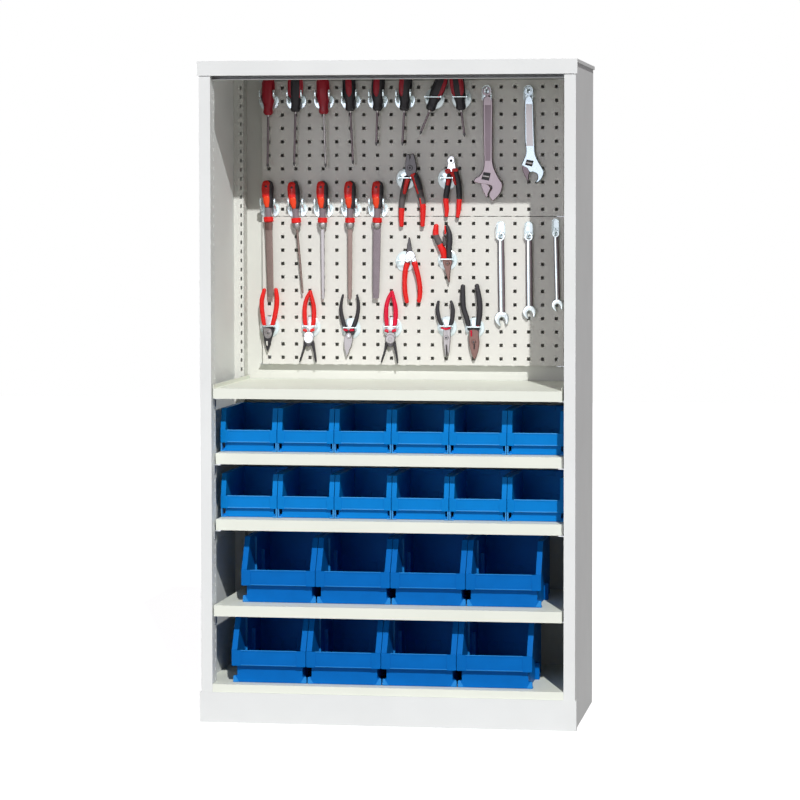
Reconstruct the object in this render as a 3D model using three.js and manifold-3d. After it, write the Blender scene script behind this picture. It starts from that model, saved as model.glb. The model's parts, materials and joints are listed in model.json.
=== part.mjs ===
// A free-standing steel parts organizer: an open-fronted cabinet with two perforated tool panels over a
// worktop, and three adjustable shelves and a base deck that carry two sizes of open-fronted plastic bins.
// Units are millimetres. +X is to the right, +Y to the back and +Z up, with the origin on the floor under
// the cabinet's centre, so the open front faces -Y.

import * as THREE from "three";
import { mergeVertices } from "three/addons/utils/BufferGeometryUtils.js";
import Module from "manifold-3d";

const wasm = await Module();
wasm.setup();

// Overall sizes
const WIDTH = 1000; // over the cap and the plinth
const DEPTH = 450;
const HEIGHT = 1740;
const SHEET = 1.2; // steel sheet of the carcass, shelves and panels
const FIT = 0.3; // gap left where two pieces meet
const STRAY = 0.005; // points closer than this to a straight edge are dropped from a finished mesh
const SIDE_INSET = 4; // sides stand in from the ends of the cap and plinth
const FACE_INSET = 3; // posts and back stand in from the cap's front and rear faces

// Folded sides
const POST_WIDTH = 30; // front face of the side's fold, beside the opening
const POST_RETURN = 14; // fold back into the cabinet
const REAR_LIP = 16;

// Top cover and the rail under it
const CAP_HEIGHT = 38;
const CAP_RETURN = 18;
const CAP_SIDE_LIP = 9;
const TOP_RAIL_DEPTH = 25;
const TOP_RAIL_DROP = 10; // how far the rail hangs below the cap's front
const TOP_RAIL_SETBACK = 20;

// Plinth and base deck
const PLINTH_HEIGHT = 80;
const PLINTH_WRAP = 20; // returns beside the sides, and foot flanges on the floor
const PLINTH_REAR_DEPTH = 30;
const DECK_RAIL = 21; // front face of the base deck above the plinth
const DECK_RETURN = 20;

// Slotted uprights
const UPRIGHT_FRONT_WIDTH = 36;
const UPRIGHT_REAR_WIDTH = 40;
const UPRIGHT_REAR_GAP = 1; // behind the rear upright, to the back panel
const FRONT_SLOTS_IN = 22; // slot row, from the front upright's front edge
const REAR_SLOTS_IN = 20; // slot row, from the rear upright's rear edge
const SLOT_PITCH = 25;
const SLOT_WIDTH = 4;
const SLOT_HEIGHT = 10;

// Shelves, each given by its slot step above the first shelf's, its thickness, its setback behind the
// posts and the height of its upturned ends
const SHELF_GAP = 5; // from the shelf's end to the upright's face
const SHELF_LIP = 15; // fold under the front edge
const SHELF_REAR_GAP = 4;
const SHELF_THICKNESS = 29;
const SHELF_SETBACK = 27;
const WORKTOP_THICKNESS = 27;
const WORKTOP_ENDS = 10;
const FIRST_SHELF_BOTTOM = 281;
const SHELVES = [
  { name: "bin_shelf_low", steps: 0, thickness: SHELF_THICKNESS, setback: 0, ends: 0 },
  { name: "bin_shelf_middle", steps: 9, thickness: SHELF_THICKNESS, setback: SHELF_SETBACK, ends: 0 },
  { name: "bin_shelf_high", steps: 16, thickness: SHELF_THICKNESS, setback: SHELF_SETBACK, ends: 0 },
  { name: "worktop", steps: 23, thickness: WORKTOP_THICKNESS, setback: 0, ends: WORKTOP_ENDS },
];

// Shelf clips
const CLIP_WIDTH = 18;
const CLIP_LEG = 2;
const CLIP_TONGUE = 17;
const CLIP_TONGUE_THICKNESS = 2.5;
const CLIP_ABOVE = 12; // leg above the shelf's underside
const CLIP_LEG_END = 1; // leg below the stub
const CLIP_HOOK_WIDTH = 3;
const CLIP_HOOK_HEIGHT = 5;
const CLIP_HOOK_DROP = 4; // hooked lip that hangs behind the upright's face
const CLIP_SLOT_CLEARANCE = 2; // hook's underside above the slot's bottom edge

// Perforated tool panels
const COLUMN_PITCH = 38;
const ROW_PITCH = 37;
const HOLE_SIZE = 9.2;
const PANEL_SIDE_ROOM = 40; // least room beside the panels; as many columns as fit
const PANEL_TOP_ROOM = 30; // least room from the upper panel to the cabinet's top; as many rows as fit
const PANEL_LOWER_ROWS = 11;
const PANEL_RETURN = 18; // folded edges that stand the panel off the back
const PANEL_JOINT = 2; // gap between the two panels
const PANEL_ABOVE_WORKTOP = 42;
const PANEL_STANDOFF = 5; // from the folded edges to the back panel

// Panel brackets, one at each end of each horizontal panel edge
const BRACKET_LEDGE = 1.4;
const BRACKET_INSIDE = 18; // ledge under the panel
const BRACKET_OUTSIDE = 10; // tab that shows beside the panel
const BRACKET_FOOT = 20; // plate on the back panel, hidden behind the tool panel
const BRACKET_FOOT_INSIDE = 2; // foot's outer end inside the panel's edge
const BRACKET_SETBACK = 3; // ledge's front edge behind the panel's face

// Open-fronted bins: front band, recessed lower front, sloped side edges and stacking feet
const SMALL_BIN = {
  width: 152,
  depth: 235,
  height: 115,
  wall: 2.5,
  flange: 13,
  bandLow: 25,
  bandHigh: 58,
  recess: 11,
  slope: 14,
  footWidth: 9,
  footHeight: 9,
  footDepth: 16,
  rearFootHeight: 9,
  rearFootAt: 190,
  ribs: [],
};
const LARGE_BIN = {
  width: 199,
  depth: 300,
  height: 171,
  wall: 2.8,
  flange: 14.5,
  bandLow: 47,
  bandHigh: 88,
  recess: 16,
  slope: 46,
  footWidth: 11,
  footHeight: 18,
  footDepth: 20,
  rearFootHeight: 44,
  rearFootAt: 165,
  ribs: [105, 185],
};
const RIM_THICKNESS = 3; // flange round the bin's front edges and rim
const BIN_UNDERSIDE = 0.6; // the bin's underside above its feet
const BAND_RIM = 1.5; // slope of the band's upper edge into the hollow
const LABEL_MARGIN = 20; // from the bin's side to the label recess
const LABEL_LIP = 4; // band left above and below the recess
const LABEL_DEPTH = 0.8;
const RIB_HEIGHT = 110;
const RIB_PROUD = 4;
const RIB_THICKNESS = 2.5;

// Rows of bins: what each stands on, how many, offset from the middle and setback from the front
const BIN_GAP = 1.5; // between neighbours in a row
const DECK_BINS_OFFSET = -19;
const DECK_BINS_SETBACK = 25;
const LARGE_BINS_SETBACK = 60;
const SMALL_BINS_SETBACK = 80;
const BIN_ROWS = [
  {
    name: "large_bin_low",
    bin: LARGE_BIN,
    on: "deck",
    count: 4,
    offset: DECK_BINS_OFFSET,
    setback: DECK_BINS_SETBACK,
  },
  {
    name: "large_bin_high",
    bin: LARGE_BIN,
    on: "bin_shelf_low",
    count: 4,
    offset: 0,
    setback: LARGE_BINS_SETBACK,
  },
  {
    name: "small_bin_low",
    bin: SMALL_BIN,
    on: "bin_shelf_middle",
    count: 6,
    offset: 0,
    setback: SMALL_BINS_SETBACK,
  },
  {
    name: "small_bin_high",
    bin: SMALL_BIN,
    on: "bin_shelf_high",
    count: 6,
    offset: 0,
    setback: SMALL_BINS_SETBACK,
  },
];

// Planes that several pieces share
const OUTER_X = WIDTH / 2;
const BODY_X = OUTER_X - SIDE_INSET;
const OPENING_X = BODY_X - POST_WIDTH;
const CAP_Y = DEPTH / 2;
const BODY_Y = CAP_Y - FACE_INSET;
const BACK_FACE_Y = BODY_Y - SHEET - FIT - SHEET; // front face of the back panel
const COVER_UNDER_Z = HEIGHT - SHEET;
const BODY_TOP_Z = COVER_UNDER_Z - FIT;
const DECK_Z = PLINTH_HEIGHT + DECK_RAIL;
const UPRIGHT_FRONT_Y = -BODY_Y + POST_RETURN + FIT;
const UPRIGHT_REAR_Y = BACK_FACE_Y - UPRIGHT_REAR_GAP - UPRIGHT_REAR_WIDTH;
const FRONT_SLOT_Y = UPRIGHT_FRONT_Y + FRONT_SLOTS_IN;
const REAR_SLOT_Y = UPRIGHT_REAR_Y + UPRIGHT_REAR_WIDTH - REAR_SLOTS_IN;
const PANEL_BACK_Y = BACK_FACE_Y - PANEL_STANDOFF;
const PANEL_FACE_Y = PANEL_BACK_Y - PANEL_RETURN;
const PANEL_COLUMNS = Math.floor((2 * (OPENING_X - PANEL_SIDE_ROOM)) / COLUMN_PITCH);
const PANEL_X = (PANEL_COLUMNS * COLUMN_PITCH) / 2;

const shelfBottom = (shelf) => FIRST_SHELF_BOTTOM + shelf.steps * SLOT_PITCH;
const shelfTop = (shelf) => shelfBottom(shelf) + shelf.thickness;
const shelfNamed = (name) => SHELVES.find((shelf) => shelf.name === name);
const PANEL_LOWER_Z = shelfTop(shelfNamed("worktop")) + PANEL_ABOVE_WORKTOP;
const PANEL_JOINT_Z = PANEL_LOWER_Z + PANEL_LOWER_ROWS * ROW_PITCH;
const PANEL_UPPER_Z = PANEL_JOINT_Z + PANEL_JOINT;
const PANEL_UPPER_ROWS = Math.floor((HEIGHT - PANEL_TOP_ROOM - PANEL_UPPER_Z) / ROW_PITCH);
const PANEL_TOP_Z = PANEL_UPPER_Z + PANEL_UPPER_ROWS * ROW_PITCH;

const paint = (color) => new THREE.MeshStandardMaterial({ color, roughness: 0.45, metalness: 0.1 });
const CARCASS_PAINT = paint(0xd9dcd8);
const SHELF_PAINT = paint(0xe4e5de);
const PANEL_PAINT = paint(0xe0e0d8);
const ZINC = new THREE.MeshStandardMaterial({ color: 0xc4c8cc, roughness: 0.35, metalness: 0.9 });
const BLUE_PLASTIC = new THREE.MeshStandardMaterial({ color: 0x0a6cb8, roughness: 0.4, metalness: 0 });

// A closed geometry as a manifold-3d solid, with its shared vertices merged.
function solid(geometry) {
  const bare = geometry.clone();
  bare.deleteAttribute("normal");
  bare.deleteAttribute("uv");
  const merged = mergeVertices(bare);
  return new wasm.Manifold(
    new wasm.Mesh({
      numProp: 3,
      vertProperties: merged.attributes.position.array,
      triVerts: new Uint32Array(merged.index.array),
    }),
  );
}

// The geometry of a finished solid, without the stray points that joins leave along straight edges.
function geometryOf(made) {
  const mesh = made.asOriginal().simplify(STRAY).getMesh();
  const position = new THREE.BufferAttribute(mesh.vertProperties, 3);
  const geometry = new THREE.BufferGeometry().setAttribute("position", position);
  geometry.setIndex(new THREE.BufferAttribute(mesh.triVerts, 1));
  return geometry;
}

// The mirror image across the cabinet's middle. Reversing the list turns each triangle to face out again.
function mirrorX(made) {
  const mesh = made.getMesh();
  const vertProperties = mesh.vertProperties.map((value, i) => (i % 3 === 0 ? -value : value));
  return new wasm.Manifold(
    new wasm.Mesh({ numProp: 3, vertProperties, triVerts: mesh.triVerts.toReversed() }),
  );
}

// A block between two values on each axis. Its corners are set one by one, so that blocks made from the
// same value share a plane exactly.
function box(x, y, z) {
  const block = new THREE.BoxGeometry();
  const corners = block.attributes.position;
  const end = (coordinate) => (coordinate > 0 ? 1 : 0);
  for (let i = 0; i < corners.count; i++) {
    corners.setXYZ(i, x[end(corners.getX(i))], y[end(corners.getY(i))], z[end(corners.getZ(i))]);
  }
  return solid(block);
}

// An outline extruded along one axis. Its two coordinates are the other two axes, in the order X, Y, Z
// but for an extrusion along Y, and it runs counter-clockwise as seen from the positive end of the axis.
const AXES = {
  x: [new THREE.Vector3(0, 1, 0), new THREE.Vector3(0, 0, 1), new THREE.Vector3(1, 0, 0)],
  y: [new THREE.Vector3(0, 0, 1), new THREE.Vector3(1, 0, 0), new THREE.Vector3(0, 1, 0)],
  z: [new THREE.Vector3(1, 0, 0), new THREE.Vector3(0, 1, 0), new THREE.Vector3(0, 0, 1)],
};
function extrude(axis, outline, [from, to]) {
  const shape = new THREE.Shape(outline.map(([u, v]) => new THREE.Vector2(u, v)));
  const made = new THREE.ExtrudeGeometry(shape, { depth: to - from, bevelEnabled: false });
  return solid(made.translate(0, 0, from).applyMatrix4(new THREE.Matrix4().makeBasis(...AXES[axis])));
}

const join = (pieces) => pieces.reduce((whole, piece) => whole.add(piece));
const cut = (whole, pieces) => pieces.reduce((rest, piece) => rest.subtract(piece), whole);

const organizer = new THREE.Group();

function addPiece(name, made, material, position = [0, 0, 0]) {
  const mesh = new THREE.Mesh(made.isBufferGeometry ? made : geometryOf(made), material);
  mesh.name = name;
  mesh.position.set(...position);
  organizer.add(mesh);
}

// Adds a piece modelled on the right-hand side, and its mirror image on the left.
function addPair(name, made, material) {
  addPiece(name + "_right", made, material);
  addPiece(name + "_left", mirrorX(made), material);
}

// Side: one sheet folded round the front into a post, with a lip at the rear for the back panel.
function sidePanel() {
  const inner = BODY_X - SHEET;
  const lip = BODY_X - REAR_LIP;
  const section = [
    [OPENING_X, -BODY_Y + POST_RETURN],
    [OPENING_X, -BODY_Y],
    [BODY_X, -BODY_Y],
    [BODY_X, BODY_Y],
    [lip, BODY_Y],
    [lip, BODY_Y - SHEET],
    [inner, BODY_Y - SHEET],
    [inner, -BODY_Y + SHEET],
    [OPENING_X + SHEET, -BODY_Y + SHEET],
    [OPENING_X + SHEET, -BODY_Y + POST_RETURN],
  ];
  return extrude("z", section, [0, BODY_TOP_Z]);
}

function backPanel() {
  const x = BODY_X - SHEET - FIT;
  return box([-x, x], [BACK_FACE_Y, BACK_FACE_Y + SHEET], [PLINTH_HEIGHT + FIT, BODY_TOP_Z]);
}

// The hollow of a tray turned upside down with its front edge folded under, as a section along X.
function trayHollow(y, z, returnDepth) {
  const below = z[0] - 1;
  return [
    [y[0] + SHEET, z[0] + SHEET],
    [y[0] + returnDepth, z[0] + SHEET],
    [y[0] + returnDepth, below],
    [y[1] - SHEET, below],
    [y[1] - SHEET, z[1] - SHEET],
    [y[0] + SHEET, z[1] - SHEET],
  ];
}

function tray(x, y, z, returnDepth) {
  const hollow = extrude("x", trayHollow(y, z, returnDepth), [-x + SHEET, x - SHEET]);
  return box([-x, x], y, z).subtract(hollow);
}

// Top cover: a tray whose front edge is the deep cap, and whose other edges are narrow lips. The cap's
// folded return stops at the posts.
function topCover() {
  const z = [HEIGHT - CAP_HEIGHT, HEIGHT];
  const lipZ = HEIGHT - CAP_SIDE_LIP;
  const underLips = [
    [CAP_Y + 1, z[0] - 1],
    [CAP_Y + 1, lipZ],
    [-CAP_Y + CAP_RETURN, lipZ],
    [-CAP_Y + CAP_RETURN, z[0] - 1],
  ].reverse();
  const besidePost = box(
    [OPENING_X - FIT, OUTER_X + 1],
    [-CAP_Y + SHEET, -CAP_Y + CAP_RETURN + 1],
    [z[0] - 1, lipZ],
  );
  return cut(tray(OUTER_X, [-CAP_Y, CAP_Y], z, CAP_RETURN), [
    extrude("x", underLips, [-OUTER_X - 1, OUTER_X + 1]),
    besidePost,
    mirrorX(besidePost),
  ]);
}

// A channel along X, open to the front or to the rear.
function channel(x, [closed, open], z) {
  const inner = closed + (open > closed ? SHEET : -SHEET);
  const section = [
    [closed, z[0]],
    [open, z[0]],
    [open, z[0] + SHEET],
    [inner, z[0] + SHEET],
    [inner, z[1] - SHEET],
    [open, z[1] - SHEET],
    [open, z[1]],
    [closed, z[1]],
  ];
  return extrude("x", open > closed ? section : section.reverse(), [-x, x]);
}

// Channel across the opening, open to the front, that the cover's front edge stands in front of.
function topRail() {
  const y0 = -CAP_Y + TOP_RAIL_SETBACK;
  const z = [HEIGHT - CAP_HEIGHT - TOP_RAIL_DROP, BODY_TOP_Z];
  return channel(OPENING_X - FIT, [y0 + TOP_RAIL_DEPTH, y0], z);
}

// Front plinth: a face with flanges along its top and foot between the posts, and wrapped round the sides.
function plinthFront() {
  const flangeX = OPENING_X - FIT;
  const wrapX = OUTER_X - SHEET;
  const above = PLINTH_HEIGHT + 1;
  const rightHalf = [
    [SHEET, flangeX],
    [-1, flangeX],
    [-1, wrapX],
    [above, wrapX],
    [above, flangeX],
    [PLINTH_HEIGHT - SHEET, flangeX],
  ];
  const leftHalf = rightHalf.map(([z, x]) => [z, -x]).reverse();
  const hollowOutline = [...rightHalf, ...leftHalf].reverse();
  const hollow = extrude("y", hollowOutline, [-CAP_Y + SHEET, -CAP_Y + PLINTH_WRAP + 1]);
  return box([-OUTER_X, OUTER_X], [-CAP_Y, -CAP_Y + PLINTH_WRAP], [0, PLINTH_HEIGHT]).subtract(hollow);
}

function plinthRear() {
  const y1 = BACK_FACE_Y + SHEET;
  return channel(BODY_X - SHEET - FIT, [y1, y1 - PLINTH_REAR_DEPTH], [0, PLINTH_HEIGHT]);
}

// Base deck: the floor of the lowest bay, notched at the front round the two posts.
function baseDeck() {
  const x = BODY_X - SHEET - FIT;
  const z = [PLINTH_HEIGHT + FIT, DECK_Z];
  const notch = box(
    [OPENING_X - FIT, x + 1],
    [-BODY_Y - 1, -BODY_Y + POST_RETURN + FIT],
    [z[0] - 1, z[1] + 1],
  );
  return cut(tray(x, [-BODY_Y, BACK_FACE_Y - FIT], z, DECK_RETURN), [notch, mirrorX(notch)]);
}

// The two slots that each clip hooks into, beside each shelf.
function clipSlots(slotY) {
  const x = [OPENING_X - 1, OPENING_X + SHEET + 1];
  const y = [slotY - SLOT_WIDTH / 2, slotY + SLOT_WIDTH / 2];
  return SHELVES.flatMap((shelf) =>
    [0, -SLOT_PITCH].map((step) => {
      const z = shelfBottom(shelf) + step;
      return box(x, y, [z, z + SLOT_HEIGHT]);
    }),
  );
}

// Upright: a channel whose slotted face is level with the opening's edge and whose flanges meet the side.
function upright(y0, width, slotY) {
  const flangeX = BODY_X - SHEET - FIT;
  const y1 = y0 + width;
  const section = [
    [OPENING_X, y0],
    [flangeX, y0],
    [flangeX, y0 + SHEET],
    [OPENING_X + SHEET, y0 + SHEET],
    [OPENING_X + SHEET, y1 - SHEET],
    [flangeX, y1 - SHEET],
    [flangeX, y1],
    [OPENING_X, y1],
  ];
  return cut(extrude("z", section, [DECK_Z + FIT, BODY_TOP_Z]), clipSlots(slotY));
}

// Shelf: a folded tray, and where it has upturned ends, what lies between and above them cut away.
function shelfTray(shelf) {
  const x = OPENING_X - SHELF_GAP;
  const y = [-BODY_Y + shelf.setback, BACK_FACE_Y - SHELF_REAR_GAP];
  const z = [shelfBottom(shelf), shelfTop(shelf)];
  if (!shelf.ends) return tray(x, y, z, SHELF_LIP);
  const betweenEnds = box([-x + SHEET, x - SHEET], [y[0] - 1, y[1] + 1], [z[1], z[1] + shelf.ends + 1]);
  const below = extrude("x", trayHollow(y, z, SHELF_LIP), [-x + SHEET, x - SHEET]);
  return cut(box([-x, x], y, [z[0], z[1] + shelf.ends]), [betweenEnds, below]);
}

// Clip: a leg flat on the upright, a tongue under the shelf, a hook through the upper slot and a stub in
// the lower one. Modelled for the right-hand side at a shelf underside of z = 0 and a slot row of y = 0.
function shelfClip() {
  const faceX = OPENING_X - FIT;
  const legX = faceX - CLIP_LEG;
  const behindX = OPENING_X + SHEET + FIT;
  const width = [-CLIP_WIDTH / 2, CLIP_WIDTH / 2];
  const hookWidth = [-CLIP_HOOK_WIDTH / 2, CLIP_HOOK_WIDTH / 2];
  const hookZ = [CLIP_SLOT_CLEARANCE, CLIP_SLOT_CLEARANCE + CLIP_HOOK_HEIGHT];
  const stubZ = hookZ.map((z) => z - SLOT_PITCH);
  const legAndTongue = [
    [stubZ[0] - CLIP_LEG_END, faceX],
    [stubZ[0] - CLIP_LEG_END, legX],
    [-FIT - CLIP_TONGUE_THICKNESS, legX],
    [-FIT - CLIP_TONGUE_THICKNESS, faceX - CLIP_TONGUE],
    [-FIT, faceX - CLIP_TONGUE],
    [-FIT, legX],
    [CLIP_ABOVE, legX],
    [CLIP_ABOVE, faceX],
  ].reverse();
  const hook = [
    [hookZ[0], legX + CLIP_LEG / 2],
    [hookZ[1], legX + CLIP_LEG / 2],
    [hookZ[1], behindX + CLIP_LEG],
    [hookZ[0] - CLIP_HOOK_DROP, behindX + CLIP_LEG],
    [hookZ[0] - CLIP_HOOK_DROP, behindX],
    [hookZ[0], behindX],
  ].reverse();
  return join([
    extrude("y", legAndTongue, width),
    extrude("y", hook, hookWidth),
    box([legX + CLIP_LEG / 2, behindX], hookWidth, stubZ),
  ]);
}

// The square holes of a panel of so many rows, which reach through its face only.
function panelHoles(rows) {
  const half = HOLE_SIZE / 2;
  const y = [PANEL_FACE_Y - 1, PANEL_FACE_Y + SHEET + 1];
  const holes = [];
  for (let row = 0; row < rows; row++) {
    for (let column = 0; column < PANEL_COLUMNS; column++) {
      const x = -PANEL_X + (column + 0.5) * COLUMN_PITCH;
      const z = (row + 0.5) * ROW_PITCH;
      holes.push(box([x - half, x + half], y, [z - half, z + half]));
    }
  }
  return holes;
}

// Perforated panel: a tray open to the rear, whose four folded edges stand it off the back.
function toolPanel(rows) {
  const height = rows * ROW_PITCH;
  const hollow = box(
    [-PANEL_X + SHEET, PANEL_X - SHEET],
    [PANEL_FACE_Y + SHEET, PANEL_BACK_Y + 1],
    [SHEET, height - SHEET],
  );
  const blank = box([-PANEL_X, PANEL_X], [PANEL_FACE_Y, PANEL_BACK_Y], [0, height]);
  return cut(blank, [hollow, ...panelHoles(rows)]);
}

// Bracket: a ledge that a panel's edge rests on, and a foot on the back panel that runs up or down from it,
// behind the tool panel. Its ledge is at z = 0.
function panelBracket(up) {
  const rearY = BACK_FACE_Y - FIT;
  const frontY = PANEL_FACE_Y + BRACKET_SETBACK;
  const toFoot = up ? 1 : -1;
  const ledge = (toFoot * BRACKET_LEDGE) / 2;
  const section = [
    [frontY, ledge],
    [rearY - SHEET, ledge],
    [rearY - SHEET, toFoot * BRACKET_FOOT],
    [rearY, toFoot * BRACKET_FOOT],
    [rearY, -ledge],
    [frontY, -ledge],
  ];
  const x = [PANEL_X - BRACKET_INSIDE, PANEL_X + BRACKET_OUTSIDE];
  const bracket = extrude("x", up ? section.reverse() : section, x);
  const footZ = up ? [ledge, BRACKET_FOOT + 1] : [-BRACKET_FOOT - 1, ledge];
  const besideFoot = box(
    [PANEL_X - BRACKET_FOOT_INSIDE, PANEL_X + BRACKET_OUTSIDE + 1],
    [rearY - SHEET - 1, rearY + 1],
    footZ,
  );
  return bracket.subtract(besideFoot);
}

// The y of the bin's sloped side edge at height z, from the top of the band to the rim.
function slopedEdge(bin, z) {
  return bin.wall + (bin.slope * (z - bin.bandHigh)) / (bin.height - bin.bandHigh);
}

// Outline of the bin from the side: recessed lower front, band, sloped opening and rear wall.
function binOutline(bin) {
  return [
    [bin.recess, BIN_UNDERSIDE],
    [bin.depth, BIN_UNDERSIDE],
    [bin.depth, bin.height],
    [slopedEdge(bin, bin.height), bin.height],
    [bin.wall, bin.bandHigh],
    [0, bin.bandHigh],
    [0, bin.bandLow],
    [bin.recess, bin.bandLow - bin.wall],
  ];
}

// The bin's hollow from the side, running out over the band and above the rim.
function binHollow(bin) {
  const inner = bin.recess + bin.wall;
  const floor = BIN_UNDERSIDE + bin.wall;
  return [
    [inner, floor],
    [bin.depth - bin.wall, floor],
    [bin.depth - bin.wall, bin.height + 1],
    [-1, bin.height + 1],
    [-1, bin.bandHigh + BAND_RIM],
    [bin.wall, bin.bandHigh - bin.wall],
    [bin.wall, bin.bandLow + bin.wall],
    [inner, bin.bandLow],
  ];
}

// What is cut from a full-width block beside the body, leaving the flange: the band, the sloped front
// edges and the rim, out to the bin's full width.
function besideBody(bin) {
  const under = bin.height - RIM_THICKNESS;
  return [
    [-1, -1],
    [bin.depth + 1, -1],
    [bin.depth + 1, under],
    [slopedEdge(bin, under) + RIM_THICKNESS, under],
    [bin.wall + RIM_THICKNESS, bin.bandHigh],
    [RIM_THICKNESS, bin.bandLow],
    [-1, bin.bandLow],
  ];
}

function openBin(bin) {
  const outerX = bin.width / 2;
  const bodyX = outerX - bin.flange + bin.wall;
  const hollowX = bodyX - bin.wall;
  const beside = extrude("x", besideBody(bin), [bodyX, outerX + 1]);
  const labelX = outerX - LABEL_MARGIN;
  const labelZ = [bin.bandLow + LABEL_LIP, bin.bandHigh - LABEL_LIP];
  const label = box([-labelX, labelX], [-1, LABEL_DEPTH], labelZ);
  const shell = cut(extrude("x", binOutline(bin), [-outerX, outerX]), [
    beside,
    mirrorX(beside),
    extrude("x", binHollow(bin), [-hollowX, hollowX]),
    label,
  ]);
  const midWall = hollowX + bin.wall / 2;
  const feet = [
    [bin.recess + BIN_UNDERSIDE, bin.footHeight],
    [bin.rearFootAt, bin.rearFootHeight],
  ].map(([y, height]) => box([midWall, bodyX + bin.footWidth], [y, y + bin.footDepth], [0, height]));
  const ribs = bin.ribs.map((y) =>
    box([hollowX - RIB_PROUD, midWall], [y, y + RIB_THICKNESS], [BIN_UNDERSIDE + bin.wall / 2, RIB_HEIGHT]),
  );
  return join([shell, ...feet, ...feet.map(mirrorX), ...ribs, ...ribs.map(mirrorX)]);
}

function addCarcass() {
  addPair("side_panel", sidePanel(), CARCASS_PAINT);
  addPiece("back_panel", backPanel(), CARCASS_PAINT);
  addPiece("top_cover", topCover(), CARCASS_PAINT);
  addPiece("top_rail", topRail(), CARCASS_PAINT);
  addPiece("plinth_front", plinthFront(), CARCASS_PAINT);
  addPiece("plinth_rear", plinthRear(), CARCASS_PAINT);
  addPiece("base_deck", baseDeck(), SHELF_PAINT);
  addPair("upright_front", upright(UPRIGHT_FRONT_Y, UPRIGHT_FRONT_WIDTH, FRONT_SLOT_Y), CARCASS_PAINT);
  addPair("upright_rear", upright(UPRIGHT_REAR_Y, UPRIGHT_REAR_WIDTH, REAR_SLOT_Y), CARCASS_PAINT);
}

function addShelves() {
  const right = shelfClip();
  const left = mirrorX(right);
  for (const shelf of SHELVES) {
    addPiece(shelf.name, shelfTray(shelf), SHELF_PAINT);
    for (const [end, y] of [["front", FRONT_SLOT_Y], ["rear", REAR_SLOT_Y]]) {
      const at = [0, y, shelfBottom(shelf)];
      addPiece(`clip_${shelf.name}_${end}_right`, geometryOf(right), ZINC, at);
      addPiece(`clip_${shelf.name}_${end}_left`, geometryOf(left), ZINC, at);
    }
  }
}

function addToolPanels() {
  addPiece("tool_panel_lower", toolPanel(PANEL_LOWER_ROWS), PANEL_PAINT, [0, 0, PANEL_LOWER_Z]);
  addPiece("tool_panel_upper", toolPanel(PANEL_UPPER_ROWS), PANEL_PAINT, [0, 0, PANEL_UPPER_Z]);
  const edges = [
    ["bottom", PANEL_LOWER_Z - FIT - BRACKET_LEDGE / 2, true],
    ["joint", PANEL_JOINT_Z + PANEL_JOINT / 2, false],
    ["top", PANEL_TOP_Z + FIT + BRACKET_LEDGE / 2, false],
  ];
  for (const [edge, z, up] of edges) {
    const bracket = panelBracket(up);
    addPiece(`panel_bracket_${edge}_right`, geometryOf(bracket), ZINC, [0, 0, z]);
    addPiece(`panel_bracket_${edge}_left`, geometryOf(mirrorX(bracket)), ZINC, [0, 0, z]);
  }
}

function addBins() {
  for (const row of BIN_ROWS) {
    const geometry = geometryOf(openBin(row.bin));
    const restsOn = row.on === "deck" ? DECK_Z : shelfTop(shelfNamed(row.on));
    for (let i = 0; i < row.count; i++) {
      const x = row.offset + (i - (row.count - 1) / 2) * (row.bin.width + BIN_GAP);
      addPiece(`${row.name}_${i + 1}`, geometry, BLUE_PLASTIC, [x, -CAP_Y + row.setback, restsOn + FIT]);
    }
  }
}

addCarcass();
addShelves();
addToolPanels();
addBins();

export default organizer;
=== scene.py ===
# Looks of the parts organizer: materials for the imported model's solids, finely modelled bins and slotted
# uprights that stand for the plain ones, the hand tools on their hook plates, floor, lights and camera.
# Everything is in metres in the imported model's frame; sizes of small things are written in millimetres.

import json
import math

import bmesh
import bpy
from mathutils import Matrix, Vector


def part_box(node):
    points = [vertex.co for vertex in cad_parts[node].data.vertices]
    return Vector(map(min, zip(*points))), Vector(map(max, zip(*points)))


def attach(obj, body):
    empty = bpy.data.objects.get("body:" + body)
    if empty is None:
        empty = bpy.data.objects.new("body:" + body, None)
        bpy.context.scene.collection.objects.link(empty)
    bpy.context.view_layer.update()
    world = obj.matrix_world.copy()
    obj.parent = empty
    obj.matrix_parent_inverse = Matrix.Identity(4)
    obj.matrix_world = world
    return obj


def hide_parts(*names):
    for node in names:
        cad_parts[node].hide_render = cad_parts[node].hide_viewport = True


MM = 0.001
CABINET = "cabinet"
SIDES = (-1, 1)

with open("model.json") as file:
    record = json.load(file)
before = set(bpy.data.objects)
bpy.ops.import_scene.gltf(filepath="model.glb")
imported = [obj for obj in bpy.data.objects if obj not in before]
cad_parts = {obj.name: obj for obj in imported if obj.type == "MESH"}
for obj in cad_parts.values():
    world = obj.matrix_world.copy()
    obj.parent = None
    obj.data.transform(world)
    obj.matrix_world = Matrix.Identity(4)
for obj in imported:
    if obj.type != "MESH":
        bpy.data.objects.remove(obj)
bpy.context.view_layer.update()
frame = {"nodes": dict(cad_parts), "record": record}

CAMERA_PLACE = (1.2831, -7.6335, 1.3739)


# Materials: colours are linear values

HOOK_WHITE = (0.80, 0.91, 0.94)
NOISE_MIDDLE = {"From Min": 0.3, "From Max": 0.7}  # most of a noise's values lie between these


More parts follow.
